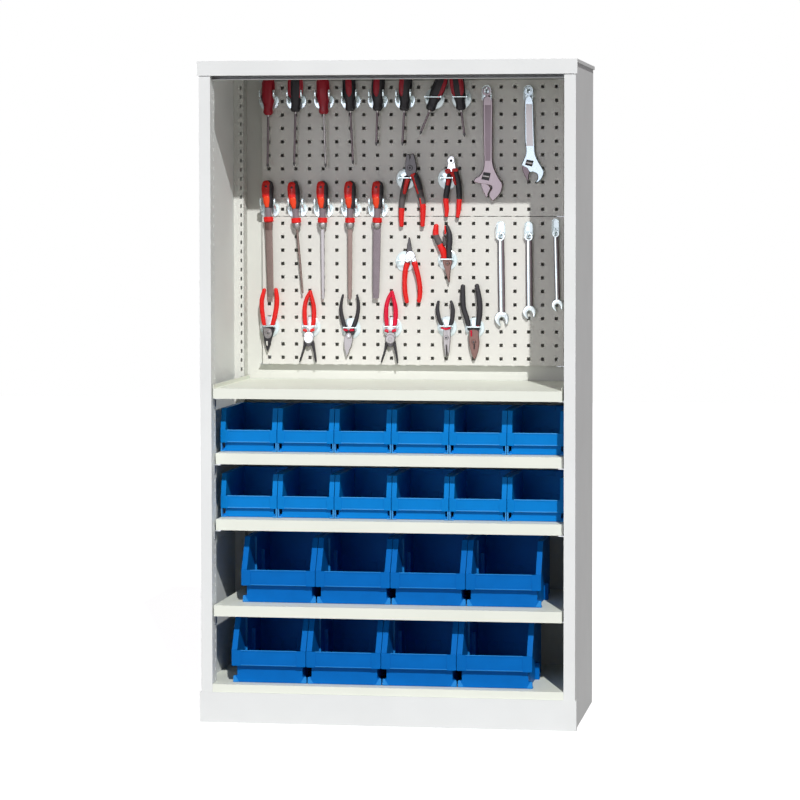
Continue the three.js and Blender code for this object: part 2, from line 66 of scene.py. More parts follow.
class Nodes:
    """A node tree, with short ways to add nodes, set their inputs and link them."""

    def __init__(self, tree):
        self.tree = tree

    def add(self, kind, values=(), **settings):
        node = self.tree.nodes.new(kind)
        for name, value in settings.items():
            setattr(node, name, value)
        for name, value in dict(values).items():
            node.inputs[name].default_value = value
        return node

    def link(self, source, target):
        self.tree.links.new(source, target)

    def seen_directly(self, strength):
        """A value that is the strength for the camera's, reflected and transmitted rays, and 0 for others."""
        path = self.add("ShaderNodeLightPath")
        value = path.outputs["Is Camera Ray"]
        for name in ("Is Glossy Ray", "Is Transmission Ray"):
            larger = self.add("ShaderNodeMath", operation="MAXIMUM")
            self.link(value, larger.inputs[0])
            self.link(path.outputs[name], larger.inputs[1])
            value = larger.outputs["Value"]
        scaled = self.add("ShaderNodeMath", {1: strength}, operation="MULTIPLY")
        self.link(value, scaled.inputs[0])
        return scaled.outputs["Value"]


class Recipe(Nodes):
    """A new material with a principled shader."""

    def __init__(self, name):
        self.material = bpy.data.materials.new(name)
        self.material.use_nodes = True
        super().__init__(self.material.node_tree)
        self.shader = self.tree.nodes["Principled BSDF"]
        self.place = self.add("ShaderNodeTexCoord").outputs["Object"]

    def set(self, name, value):
        self.shader.inputs[name].default_value = value

    def feed(self, name, source):
        self.link(source, self.shader.inputs[name])

    def mapped(self, change, amount):
        """The place on the piece, with its scale or rotation changed."""
        mapping = self.add("ShaderNodeMapping", {change: amount})
        self.link(self.place, mapping.inputs["Vector"])
        return mapping.outputs["Vector"]

    def noise(self, scale, detail=3.0, stretch=None):
        texture = self.add("ShaderNodeTexNoise", {"Scale": scale, "Detail": detail})
        self.link(self.mapped("Scale", stretch) if stretch else self.place, texture.inputs["Vector"])
        return texture.outputs["Fac"]

    def between(self, noise, low, high):
        """A value that runs from low to high over a noise's middle range."""
        spread = self.add("ShaderNodeMapRange", {**NOISE_MIDDLE, "To Min": low, "To Max": high})
        self.link(noise, spread.inputs["Value"])
        return spread.outputs["Result"]

    def tint(self, factor, colour, low, high):
        """A base colour that runs from low to high times the colour as the factor runs from 0 to 1."""
        first, second = [[min(1.0, part * share) for part in colour] for share in (low, high)]
        mix = self.add("ShaderNodeMix", data_type="RGBA")
        mix.inputs["A"].default_value = (*first, 1.0)
        mix.inputs["B"].default_value = (*second, 1.0)
        self.link(factor, mix.inputs["Factor"])
        self.feed("Base Color", mix.outputs["Result"])

    def mottle(self, noise, colour, low, high):
        self.tint(self.between(noise, 0.0, 1.0), colour, low, high)

    def roughen(self, noise, smoothest, roughest):
        self.feed("Roughness", self.between(noise, smoothest, roughest))

    def bump(self, height, distance, strength):
        bump = self.add("ShaderNodeBump", {"Strength": strength, "Distance": distance})
        self.link(height, bump.inputs["Height"])
        self.feed("Normal", bump.outputs["Normal"])


def powder_coat(name, colour, sheen=0.12):
    """Powder-coated sheet: a faint orange-peel surface and barely mottled colour and gloss."""
    recipe = Recipe(name)
    recipe.mottle(recipe.noise(6.0), colour, 0.975, 1.02)
    recipe.roughen(recipe.noise(40.0), 0.46, 0.56)
    recipe.set("Specular IOR Level", sheen)
    recipe.bump(recipe.noise(900.0, 1.0), 0.00006, 0.35)
    return recipe.material


def moulded_plastic(name, colour, smoothest, roughest, sheen=0.3):
    """Moulded plastic: fine grain, cloudy gloss and a slight change of colour over the piece."""
    recipe = Recipe(name)
    recipe.mottle(recipe.noise(9.0), colour, 0.90, 1.10)
    recipe.roughen(recipe.noise(60.0), smoothest, roughest)
    recipe.set("Specular IOR Level", sheen)
    recipe.bump(recipe.noise(1400.0, 2.0), 0.00005, 0.4)
    return recipe.material


def steel(name, colour, smoothest, roughest, stretch=(1.0, 1.0, 0.06)):
    """Metal with fine scratches drawn out along the piece."""
    recipe = Recipe(name)
    scratches = recipe.noise(700.0, 4.0, stretch)
    recipe.mottle(scratches, colour, 0.86, 1.12)
    recipe.roughen(scratches, smoothest, roughest)
    recipe.set("Metallic", 1.0)
    recipe.bump(scratches, 0.00004, 0.5)
    return recipe.material


def file_steel(name, colour):
    """A file's cut face: fine crossed teeth as two sets of slanted waves."""
    recipe = Recipe(name)
    teeth = recipe.add("ShaderNodeMath", operation="MULTIPLY")
    for lean, height in zip((0.9, -0.9), teeth.inputs):
        wave = recipe.add("ShaderNodeTexWave", {"Scale": 260.0}, bands_direction="Z")
        recipe.link(recipe.mapped("Rotation", (0.0, lean, 0.0)), wave.inputs["Vector"])
        recipe.link(wave.outputs["Fac"], height)
    recipe.tint(teeth.outputs["Value"], colour, 0.7, 1.25)
    recipe.roughen(recipe.noise(50.0), 0.42, 0.55)
    recipe.set("Metallic", 1.0)
    recipe.bump(teeth.outputs["Value"], 0.0002, 0.6)
    return recipe.material


def hook_plastic(name, gleam):
    """Hook plates of clear plastic, made milky and as bright in reflection as clear ones look."""
    recipe = Recipe(name)
    recipe.mottle(recipe.noise(30.0), HOOK_WHITE, 0.94, 1.0)
    recipe.roughen(recipe.noise(90.0), 0.12, 0.22)
    recipe.set("Metallic", gleam)
    recipe.set("IOR", 1.46)
    return recipe.material


M_CARCASS = powder_coat("carcass_coat", (0.80, 0.82, 0.80), 0.0)
# a darker, creamier copy of the carcass coat for the back panel and rear uprights: painted shade
M_SHADED_INNER_COAT = powder_coat("shaded_inner_coat", (0.72, 0.725, 0.675), 0.0)
M_SHELF = powder_coat("shelf_coat", (0.82, 0.85, 0.75))
M_PANEL = powder_coat("panel_coat", (0.735, 0.725, 0.675))
M_ZINC = steel("zinc_plate", (0.62, 0.64, 0.66), 0.28, 0.42, (1.0, 1.0, 1.0))
M_SMALL_BIN = moulded_plastic("small_bin_plastic", (0.002, 0.205, 0.60), 0.32, 0.44, 0.06)
M_LARGE_BIN = moulded_plastic("large_bin_plastic", (0.001, 0.135, 0.47), 0.36, 0.48, 0.06)
# paler blue plastic on the bins' lips, feet and ribs, so they look lit: painted highlight
M_SMALL_BIN_HIGHLIGHT = moulded_plastic("small_bin_lip", (0.05, 0.32, 0.72), 0.30, 0.42, 0.12)
M_LARGE_BIN_HIGHLIGHT = moulded_plastic("large_bin_lip", (0.012, 0.22, 0.60), 0.28, 0.40, 0.22)
M_RED = moulded_plastic("red_grip", (0.74, 0.016, 0.013), 0.22, 0.34)
# the grips' red made darker and duller as it looks in the shade: painted shade
M_SHADED_RED = moulded_plastic("shaded_red_grip", (0.36, 0.012, 0.026), 0.26, 0.38)
# the grips' red made paler and more orange as it looks in sunlight: painted light
M_SUNLIT_RED = moulded_plastic("sunlit_red_grip", (0.86, 0.06, 0.015), 0.25, 0.38)
M_CRIMSON = moulded_plastic("crimson_grip", (0.66, 0.004, 0.035), 0.22, 0.34)
M_BLACK = moulded_plastic("black_grip", (0.030, 0.028, 0.032), 0.40, 0.55)
M_GREY = moulded_plastic("grey_grip", (0.10, 0.085, 0.085), 0.40, 0.55)
M_NECK = moulded_plastic("smoky_neck", (0.23, 0.18, 0.20), 0.20, 0.32)
M_CHROME = steel("chrome_plate", (0.72, 0.79, 0.82), 0.06, 0.12)
M_BRIGHT = steel("bright_steel", (0.66, 0.67, 0.69), 0.14, 0.24)
M_SATIN = steel("satin_steel", (0.36, 0.34, 0.34), 0.30, 0.42)
# darker steel for screwdriver shafts, the short wrench's jaw, the long wrench's recess and the spanners'
# shank edges: painted shade
M_SHADE_DARK_STEEL = steel("shade_dark_steel", (0.17, 0.135, 0.15), 0.34, 0.48)
M_SILVER = steel("silver_steel", (0.44, 0.51, 0.55), 0.20, 0.32)
# the long wrench's steel, darkened and tinted mauve as it looks in the shade: painted shade
M_SHADED_WRENCH_STEEL = steel("shaded_wrench_steel", (0.31, 0.26, 0.28), 0.32, 0.46)
M_DARK = steel("dark_steel", (0.10, 0.095, 0.10), 0.36, 0.50)
M_BRONZE = steel("browned_steel", (0.20, 0.12, 0.105), 0.34, 0.48)
M_FILE = file_steel("file_steel", (0.30, 0.22, 0.20))
M_GREY_FILE = file_steel("grey_file_steel", (0.24, 0.20, 0.22))
M_HOOK = hook_plastic("hook_plastic", 0.35)
M_HOOK_BAR = hook_plastic("hook_bar_plastic", 0.75)


# Objects and meshes

SHARP_ANGLE = math.radians(35.0)
PATH_STEPS = 6  # points on a curve for each point given
LOOP_STEPS = 4
DOME_STEPS = 4


def add_object(name, data, place=(0.0, 0.0, 0.0)):
    made = bpy.data.objects.new(name, data)
    made.location = place
    bpy.context.scene.collection.objects.link(made)
    return made


def new_piece(name, mesh, body, place=(0.0, 0.0, 0.0)):
    piece = add_object(name, mesh, place)
    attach(piece, body)
    return piece


def turn_outward(mesh):
    work = bmesh.new()
    work.from_mesh(mesh)
    bmesh.ops.recalc_face_normals(work, faces=work.faces)
    work.to_mesh(mesh)
    work.free()


def turns(count, start=0.0):
    """Angles at an even pitch round a circle, in radians."""
    return [2 * math.pi * (j + start) / count for j in range(count)]


def curve_point(four, t):
    """The point at t between the second and third of four points on a curve through them all."""
    made = []
    for a, b, c, d in zip(*four):
        square = 2 * a - 5 * b + 4 * c - d
        cube = 3 * b - a - 3 * c + d
        made.append(0.5 * (2 * b + (c - a) * t + square * t * t + cube * t * t * t))
    return tuple(made)


def smooth_path(points):
    """Points on a curve through the given points, which may hold any number of values each."""
    made = []
    last = len(points) - 1
    for i in range(last):
        four = [points[max(i - 1, 0)], points[i], points[i + 1], points[min(i + 2, last)]]
        made += [curve_point(four, step / PATH_STEPS) for step in range(PATH_STEPS)]
    made.append(tuple(points[-1]))
    return made


def smooth_loop(points):
    """Points on a closed curve through the given points."""
    made = []
    for i in range(len(points)):
        four = [points[(i + j) % len(points)] for j in (-1, 0, 1, 2)]
        made += [curve_point(four, step / LOOP_STEPS) for step in range(LOOP_STEPS)]
    return made


def mirrored(points):
    return [(-p[0], *p[1:]) for p in reversed(points)]


def anticlockwise(outline):
    following = outline[1:] + outline[:1]
    area = sum(a[0] * b[1] - b[0] * a[1] for a, b in zip(outline, following))
    return outline if area > 0 else list(reversed(outline))


class Shape:
    """Collects the mesh of one piece in millimetres: u to the right, v up and w towards the viewer."""

    def __init__(self):
        self.vertices = []
        self.faces = []
        self.face_materials = []
        self.materials = []

    def material_index(self, material):
        if material not in self.materials:
            self.materials.append(material)
        return self.materials.index(material)

    def add(self, vertices, faces, materials):
        start = len(self.vertices)
        self.vertices.extend(vertices)
        self.faces.extend([tuple(start + i for i in face) for face in faces])
        self.face_materials.extend([self.material_index(material) for material in materials])

    def rings(self, rings, material, closed=False, bands=None):
        """Skins rings of equal length, with flat ends unless they close into a loop.

        Bands of colour are (share of the way at the band's end, material).
        """
        count = len(rings[0])
        vertices = [point for ring in rings for point in ring]
        faces = []
        spans = len(rings) if closed else len(rings) - 1
        for i in range(spans):
            a = i * count
            b = ((i + 1) % len(rings)) * count
            for j in range(count):
                k = (j + 1) % count
                faces.append((a + j, a + k, b + k, b + j))
        materials = [material] * len(faces)
        if bands:
            shares = [(i // count + 0.5) / spans for i in range(len(faces))]
            materials = [next(band for end, band in bands if share <= end) for share in shares]
        if not closed:
            faces.append(tuple(reversed(range(count))))
            faces.append(tuple(range(spans * count, len(rings) * count)))
            materials += [materials[0], materials[-1]]
        self.add(vertices, faces, materials)

    def sweep(self, points, material, sides=14, round_ends=True, squareness=2.0, bands=None):
        """A bar along (u, v, w, half width in the plane, half depth across it) points."""
        path = smooth_path(points)
        stations = []
        for i, (u, v, w, half_width, half_depth) in enumerate(path):
            before = path[max(i - 1, 0)][:3]
            after = path[min(i + 1, len(path) - 1)][:3]
            along = Vector([b - a for a, b in zip(before, after)]).normalized()
            across = Vector((along.y, -along.x, 0.0))
            across = across.normalized() if across.length > 1e-6 else Vector((1.0, 0.0, 0.0))
            stations.append((Vector((u, v, w)), along, across, across.cross(along), half_width, half_depth))
        if round_ends:
            stations = self.domed(stations)
        rings = []
        for centre, _, across, outward, half_width, half_depth in stations:
            ring = []
            for turn in turns(sides, 0.5):
                c, s = math.cos(turn), math.sin(turn)
                c = math.copysign(abs(c) ** (2 / squareness), c)
                s = math.copysign(abs(s) ** (2 / squareness), s)
                ring.append(tuple(centre + across * (half_width * c) + outward * (half_depth * s)))
            rings.append(ring)
        self.rings(rings, material, bands=bands)

    @staticmethod
    def domed(stations):
        """A sweep's stations with a rounded run added at each end."""
        made = list(stations)
        for end, sign in ((0, -1.0), (-1, 1.0)):
            centre, along, across, outward, half_width, half_depth = stations[end]
            reach = min(half_width, half_depth)
            dome = []
            for step in range(1, DOME_STEPS + 1):
                turn = 0.5 * math.pi * step / (DOME_STEPS + 0.3)
                shrink = math.cos(turn)
                moved = centre + along * (sign * reach * math.sin(turn))
                dome.append((moved, along, across, outward, half_width * shrink, half_depth * shrink))
            made = list(reversed(dome)) + made if end == 0 else made + dome
        return made

    def turned(self, profile, centre, axis, material, sides=24, flat=1.0, flutes=0):
        """A turned body: (radius, distance along the axis) points, about the v or the w axis."""
        rings = []
        for radius, along in profile:
            ring = []
            for turn in turns(sides):
                grown = radius * (1.0 + 0.035 * math.cos(flutes * turn)) if flutes else radius
                c, s = grown * math.cos(turn), grown * math.sin(turn) * flat
                offset = (c, along, s) if axis == "v" else (c, s, along)
                ring.append(tuple(a + b for a, b in zip(centre, offset)))
            rings.append(ring)
        self.rings(rings, material)

    def ring(self, centre, inner, outer, low, high, material, sides, corners=0):
        """A flat ring about the w axis with eased edges. With corners, its hole is a polygon's."""
        ease = min(0.8, (high - low) / 4)
        profile = [(inner, low + ease), (inner + ease, low), (outer - ease, low), (outer, low + ease)]
        profile += [(outer, high - ease), (outer - ease, high), (inner + ease, high), (inner, high - ease)]
        rings = []
        for turn in turns(sides):
            ring = []
            for radius, along in profile:
                if corners and radius < inner + 2 * ease:
                    sector = 2 * math.pi / corners
                    off = (turn % sector) - sector / 2
                    radius *= math.cos(sector / 2) / math.cos(off)
                offset = (radius * math.cos(turn), radius * math.sin(turn), along)
                ring.append(tuple(a + b for a, b in zip(centre, offset)))
            rings.append(ring)
        self.rings(rings, material, closed=True)

    def plate(self, outline, low, high, material, ease=0.6, facing="w"):
        """A flat plate with eased edges: its outline in the u, v plane, or in v, w where it faces along u."""
        inset = []
        for i, point in enumerate(outline):
            here = Vector(point)
            into = (here - Vector(outline[i - 1])).normalized()
            out_of = (Vector(outline[(i + 1) % len(outline)]) - here).normalized()
            normal = Vector((-(into.y + out_of.y), into.x + out_of.x))
            inset.append(here + normal.normalized() * ease)
        rings = []
        for ring, level in ((inset, low), (outline, low + ease), (outline, high - ease), (inset, high)):
            rings.append([(p[0], p[1], level) if facing == "w" else (level, p[0], p[1]) for p in ring])
        self.rings(rings, material)

    def mesh(self, name, place, lean_degrees=0.0):
        """The finished mesh, at a place on the panels and turned in their plane."""
        made = bpy.data.meshes.new(name)
        lean = math.radians(lean_degrees)
        cosine, sine = math.cos(lean), math.sin(lean)
        points = []
        for u, v, w in self.vertices:
            x = place.x + (u * cosine - v * sine) * MM
            z = place.z + (u * sine + v * cosine) * MM
            points.append((x, place.y - w * MM, z))
        made.from_pydata(points, [], self.faces)
        for material in self.materials:
            made.materials.append(material)
        made.polygons.foreach_set("material_index", self.face_materials)
        made.update()
        turn_outward(made)
        made.shade_smooth()
        made.set_sharp_from_angle(angle=SHARP_ANGLE)
        return made


# Sheet metal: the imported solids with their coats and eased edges

COATS = {
    "carcass_paint": M_CARCASS,
    "shelf_paint": M_SHELF,
    "panel_paint": M_PANEL,
    "zinc": M_ZINC,
    "blue_plastic": M_LARGE_BIN,
}
SHEET_EASE = 0.5


def ease_edges(piece):
    modifier = piece.modifiers.new("bevel", "BEVEL")
    modifier.width = SHEET_EASE * MM
    modifier.segments = 2
    modifier.limit_method = "ANGLE"
    modifier.angle_limit = SHARP_ANGLE
    modifier.harden_normals = True


def dress_solids():
    for entry in frame["record"]["subparts"]:
        name = entry["node"]
        node = frame["nodes"][name]
        node.data.materials.clear()
        # the back panel takes the darker inner coat: painted shade
        node.data.materials.append(M_SHADED_INNER_COAT if name == "back_panel" else COATS[entry["material_slot"]])
        if not name.startswith("tool_panel"):
            ease_edges(node)


# Slotted uprights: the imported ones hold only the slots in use, the real ones a whole row

SHEET = 1.2
SLOT_PITCH = 25.0
SLOT_WIDTH = 4.0
SLOT_HEIGHT = 10.0
SLOT_ROW_START = 106.0  # height of the lowest slot's lower edge
SLOT_ROW_END = 1728.0
FRONT_SLOTS_IN = 22.0  # slot row, from the front upright's front edge
REAR_SLOTS_IN = 20.0  # slot row, from the rear upright's rear edge
FLANGE_SLOTS_IN = 8.0  # slot row in a flange, from the channel's face


def grid_plate(across, upward, holes):
    """A plate's corners as (across, up, side), and its faces, which leave the (column, row) holes open."""
    columns = len(across) - 1
    rows = len(upward) - 1

    def filled(i, j):
        return 0 <= i < columns and 0 <= j < rows and (i, j) not in holes

    def corner(i, j, face):
        return (j * (columns + 1) + i) * 2 + face

    vertices = [(x, z, face) for z in upward for x in across for face in (0, 1)]
    faces = []
    for j in range(rows):
        for i in range(columns):
            if not filled(i, j):
                continue
            for face in (0, 1):
                square = [(i, j), (i + 1, j), (i + 1, j + 1), (i, j + 1)]
                faces.append(tuple(corner(a, b, face) for a, b in square))
            sides = [((-1, 0), (i, j), (i, j + 1)), ((1, 0), (i + 1, j), (i + 1, j + 1))]
            sides += [((0, -1), (i, j), (i + 1, j)), ((0, 1), (i, j + 1), (i + 1, j + 1))]
            for (step_i, step_j), start, end in sides:
                if not filled(i + step_i, j + step_j):
                    faces.append((corner(*start, 0), corner(*end, 0), corner(*end, 1), corner(*start, 1)))
    return vertices, faces


def slotted_sheet(edges, slot, low_z, high_z):
    """A sheet between two edges with a column of slots at one place across it."""
    half = SLOT_WIDTH * MM / 2
    across = sorted([*edges, slot - half, slot + half])
    upward = [low_z]
    holes = set()
    slot_z = SLOT_ROW_START
    while slot_z < SLOT_ROW_END:
        upward += [slot_z * MM, (slot_z + SLOT_HEIGHT) * MM]
        holes.add((1, len(upward) - 2))
        slot_z += SLOT_PITCH
    upward.append(high_z)
    return grid_plate(across, upward, holes)


def slotted_upright(node_name, slots_in, from_rear):
    """A folded channel with rows of slots at an even pitch in its face and its flanges."""
    low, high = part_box(node_name)
    right = low.x > 0
    face_x, far_x = (low.x, high.x) if right else (high.x, low.x)
    outward = 1.0 if right else -1.0
    sheet = SHEET * MM
    slot_y = high.y - slots_in * MM if from_rear else low.y + slots_in * MM
    plate, faces = slotted_sheet((low.y, high.y), slot_y, low.z, high.z)
    vertices = [(face_x + outward * sheet * side, y, z) for y, z, side in plate]
    near_x = face_x + outward * sheet * 0.5
    slot_x = face_x + outward * FLANGE_SLOTS_IN * MM
    flange, flange_faces = slotted_sheet((near_x, far_x), slot_x, low.z, high.z)
    for y in (low.y, high.y - sheet):
        start = len(vertices)
        vertices += [(x, y + side * sheet, z) for x, z, side in flange]
        faces += [tuple(start + corner for corner in face) for face in flange_faces]
    mesh = bpy.data.meshes.new(f"{node_name}_slotted")
    mesh.from_pydata(vertices, [], faces)
    # rear uprights take the darker inner coat: painted shade
    mesh.materials.append(M_SHADED_INNER_COAT if from_rear else M_CARCASS)
    turn_outward(mesh)
    piece = new_piece(f"{node_name}_slotted", mesh, CABINET)
    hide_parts(node_name)


def slot_uprights():
    for side in ("right", "left"):
        slotted_upright(f"upright_front_{side}", FRONT_SLOTS_IN, False)
        slotted_upright(f"upright_rear_{side}", REAR_SLOTS_IN, True)


# Bins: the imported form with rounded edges, and the lips, feet, tabs and ribs of a moulding

SMALL_KIND = {
    "material": M_SMALL_BIN,
    "lip": M_SMALL_BIN_HIGHLIGHT,
    "width": 152.0,
    "depth": 235.0,
    "height": 115.0,
    "wall": 2.5,
    "flange": 13.0,
    "band_low": 25.0,
    "band_high": 58.0,
    "slope": 14.0,
    "foot_height": 9.0,
    "tab": 19.0,
    # u from the bin's edge, v
    "feet": [
        [(-3.4, 0.6), (-0.3, 0.6), (-0.3, 25.6), (-3.4, 25.6)],
        [(-12.0, 0.6), (-3.0, 0.6), (-3.0, 3.2), (-12.0, 3.2)],
    ],
    "feet_reach": (-16.0, -1.0),
    "full_ribs": (),
}
LARGE_KIND = {
    "material": M_LARGE_BIN,
    "lip": M_LARGE_BIN_HIGHLIGHT,
    "width": 199.0,
    "depth": 300.0,
    "height": 171.0,
    "wall": 2.8,
    "flange": 14.5,
    "band_low": 47.0,
    "band_high": 88.0,
    "slope": 46.0,
    "foot_height": 18.0,
    "tab": 25.0,
    "feet": [[(-17.0, 0.6), (-1.0, 0.6), (-1.0, 15.0), (-2.5, 18.0), (-6.5, 18.0)]],
    "feet_reach": (-20.0, -15.0),
    # depth, reach into the bin, top
    "full_ribs": ((104.5, 5.0, 164.0), (184.5, 9.0, 120.0)),
}
BIN_ROWS = [
    ("large_bin_low", LARGE_KIND, 4),
    ("large_bin_high", LARGE_KIND, 4),
    ("small_bin_low", SMALL_KIND, 6),
    ("small_bin_high", SMALL_KIND, 6),
]
BIN_EDGE = 0.7
BIN_SHARP_ANGLE = math.radians(50.0)
BIN_CORNER_ANGLE = math.radians(30.0)  # edges that turn by more are rounded
BIN_FLAT_ANGLE = math.radians(1.0)  # faces that turn by less are joined
LIP_RADIUS = 1.3
BEAD_RADIUS = 1.5
TAB_CUT = 1.5  # the label tab's cut corners
RIB_THICKNESS = 3.5
PAD_HALF_WIDTH = 14.0


def circle(u, v, w, radius, sides):
    """Points round a centre, in the u, v plane."""
    return [(u + radius * math.cos(turn), v + radius * math.sin(turn), w) for turn in turns(sides)]


def cut_rectangle(left, bottom, right, top, cut):
    """A rectangle's outline with its four corners cut off."""
    outline = [(left, bottom + cut), (left + cut, bottom), (right - cut, bottom), (right, bottom + cut)]
    return outline + [(right, top - cut), (right - cut, top), (left + cut, top), (left, top - cut)]


def bin_trim(kind):
    """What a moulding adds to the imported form, in the bin's own frame with its front at w = 0."""
    shape = Shape()
    material, lip = kind["material"], kind["lip"]
    shape.material_index(material)
    half = kind["width"] / 2
    hollow = half - kind["flange"]
    label_half = half - kind["tab"]
    low, high = kind["band_low"], kind["band_high"]
    top, wall = kind["height"], kind["wall"]
    back = -kind["depth"]
    # the lips, feet and ribs below are in the paler plastic: painted highlight
    for level in (high - 0.9, low + 1.3):
        ends = [(side * label_half, level, -0.4, LIP_RADIUS, LIP_RADIUS) for side in SIDES]
        shape.sweep(ends, lip, sides=12)
    for side in SIDES:
        for outline in kind["feet"]:
            foot = [(side * (half + u), v) for u, v in outline]
            shape.plate(anticlockwise(foot), *kind["feet_reach"], lip, 0.3)
    for side in SIDES:
        inner, outer = sorted((side * label_half, side * (half - 1.0)))
        shape.plate(cut_rectangle(inner, low - 1.0, outer, high, TAB_CUT), -1.2, 0.8, material, 0.5)
        rim = side * (hollow + 1.2)
        bead = [circle(rim, top - 1.6, w, BEAD_RADIUS, 10) for w in (-kind["slope"] - 8.0, back + 2.5)]
        shape.rings(bead, material)
        for depth, inward, rib_top in kind["full_ribs"]:
            inner, outer = sorted((side * (hollow - inward), side * (hollow + wall / 2)))
            rib = [(inner, 2.4), (outer, 2.4), (outer, rib_top), (inner, rib_top)]
            shape.plate(rib, -depth - RIB_THICKNESS, -depth, lip, 0.6)
    rear_bead = [(side * (half - 3.0), top - 1.7, back + 2.2, 1.6, 1.6) for side in SIDES]
    shape.sweep(rear_bead, material, sides=12)
    for u in (-hollow * 0.5, 0.0, hollow * 0.5):
        left, right = u - PAD_HALF_WIDTH, u + PAD_HALF_WIDTH
        pad = [(left, 6.0), (right, 6.0), (right, high * 0.9), (left, high * 0.9)]
        shape.plate(pad, back + wall - 0.5, back + wall + 1.6, material, 0.6)
    grip_low = [(24.0, top - 15.0), (26.0, top - 12.0)]
    grip_high = [(26.0, top - 4.0), (24.0, top - 2.0)]
    grip = mirrored(grip_low) + grip_low + grip_high + mirrored(grip_high)
    shape.plate(grip, back + 0.1, back + wall + 3.0, material, 0.8)
    return shape.mesh("bin_trim", Vector((0.0, 0.0, 0.0)))


def bin_mesh(name, node_name, kind):
    """The bin's whole mesh, in its own frame: origin at the middle of its front, on what it stands on."""
    low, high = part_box(node_name)
    work = bmesh.new()
    work.from_mesh(frame["nodes"][node_name].data)
    bmesh.ops.remove_doubles(work, verts=work.verts, dist=1e-6)
    bmesh.ops.translate(work, verts=work.verts, vec=(-(low.x + high.x) / 2, -low.y, -low.z))
    bmesh.ops.dissolve_limit(work, angle_limit=BIN_FLAT_ANGLE, verts=work.verts, edges=work.edges)
    body_half = (kind["width"] / 2 - kind["flange"] + kind["wall"]) * MM
    for vertex in work.verts:  # the feet's outer corners are drawn in to slant up to the body
        outside = abs(vertex.co.x) > body_half + 2 * MM
        if outside and abs(vertex.co.z - kind["foot_height"] * MM) < 0.1 * MM:
            vertex.co.x = math.copysign(body_half + 4 * MM, vertex.co.x)
    corners = [edge for edge in work.edges if edge.calc_face_angle(0.0) > BIN_CORNER_ANGLE]
    bmesh.ops.bevel(
        work, geom=corners, offset=BIN_EDGE * MM, segments=2, profile=0.5, affect="EDGES", clamp_overlap=True
    )
    work.from_mesh(bin_trim(kind))
    raw = bpy.data.meshes.new(f"{name}_raw")
    work.to_mesh(raw)
    work.free()
    raw.materials.append(kind["material"])
    raw.materials.append(kind["lip"])
    raw.shade_smooth()
    raw.set_sharp_from_angle(angle=BIN_SHARP_ANGLE)
    return weighted(name, raw)


def weighted(name, mesh):
    """The mesh with normals that keep its large faces looking flat."""
    holder = add_object("holder", mesh)
    modifier = holder.modifiers.new("normals", "WEIGHTED_NORMAL")
    modifier.keep_sharp = True
    evaluated = holder.evaluated_get(bpy.context.evaluated_depsgraph_get())
    made = bpy.data.meshes.new_from_object(evaluated)
    made.name = name
    bpy.data.objects.remove(holder)
    return made


def mould_bins():
    meshes = {}
    for row, kind, count in BIN_ROWS:
        size = "large" if kind is LARGE_KIND else "small"
        if size not in meshes:
            meshes[size] = bin_mesh(f"{size}_moulding", f"{row}_1", kind)
        for i in range(1, count + 1):
            node_name = f"{row}_{i}"
            low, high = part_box(node_name)
            place = ((low.x + high.x) / 2, low.y, low.z)
            piece = new_piece(f"{node_name}_moulded", meshes[size], node_name, place)
            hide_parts(node_name)


# Panel places

COLUMN_PITCH = 38.0
ROW_PITCH = 37.0
HOLE_COLUMNS = 22
LOWER_ROW = 10  # rows are counted down from the upper panel's top row, which is row 0
PANEL_LOW, PANEL_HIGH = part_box("tool_panel_lower")
_, UPPER_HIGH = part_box("tool_panel_upper")


def panel_place(column, row):
    """The point on the panels' face at a hole column and row, either of which may be a fraction."""
    x = (column - (HOLE_COLUMNS - 1) / 2) * COLUMN_PITCH * MM
    if row < LOWER_ROW - 0.5:
        z = UPPER_HIGH.z - (row + 0.5) * ROW_PITCH * MM
    else:
        z = PANEL_HIGH.z - (row - LOWER_ROW + 0.5) * ROW_PITCH * MM
    return Vector((x, PANEL_LOW.y, z))


def seen_place(column, row, depth):
    """Where a piece so far off the panel hangs to line up with a hole column and row from the camera."""
    point = panel_place(column, row)
    to_camera = Vector(CAMERA_PLACE) - point
    moved = point + to_camera * (depth * MM / abs(to_camera.y))
    return Vector((moved.x, point.y, moved.z))


def from_origin(origin, places):
    """(column, row, further values) entries as (u, v, further values), in millimetres from the origin."""
    return [((p[0] - origin[0]) * COLUMN_PITCH, (origin[1] - p[1]) * ROW_PITCH, *p[2:]) for p in places]


def hang(name, shape, column, row, depth, lean=0.0):
    """A piece on the tool panels, whose origin lines up with a hole column and row at its depth."""
    new_piece(name, shape.mesh(name, seen_place(column, row, depth), lean), CABINET)


# Hook plates

FORK_DEPTH = 8.0
FORK_LOBE = [(6, 1), (13, 4), (22, 3), (27, -4), (27, -16), (22, -27), (14, -32), (9, -26), (7, -18)]
FORK_CHEEK = [
    # v, w: the side of a cheek, from the plate out to its upright front edge
    (-17, 1.5), (-13, 14), (-3, 26), (1, 32), (9, 34), (17, 33), (19, 30), (17, 26), (6, 21), (1, 11),
    (0, 1.5),
]


def fork_holder(name, column, row):
    """A winged plate with two cheeks that carry a handle between them. Its origin is the cheeks' foot."""
    shape = Shape()
    shape.plate(anticlockwise(smooth_loop(FORK_LOBE + mirrored(FORK_LOBE))), 0.3, 2.8, M_HOOK)
    for low in (-21.5, 17.5):
        shape.plate(smooth_loop(FORK_CHEEK), low, low + 4.0, M_HOOK_BAR, 0.8, "u")
    hang(name, shape, column, row, FORK_DEPTH)


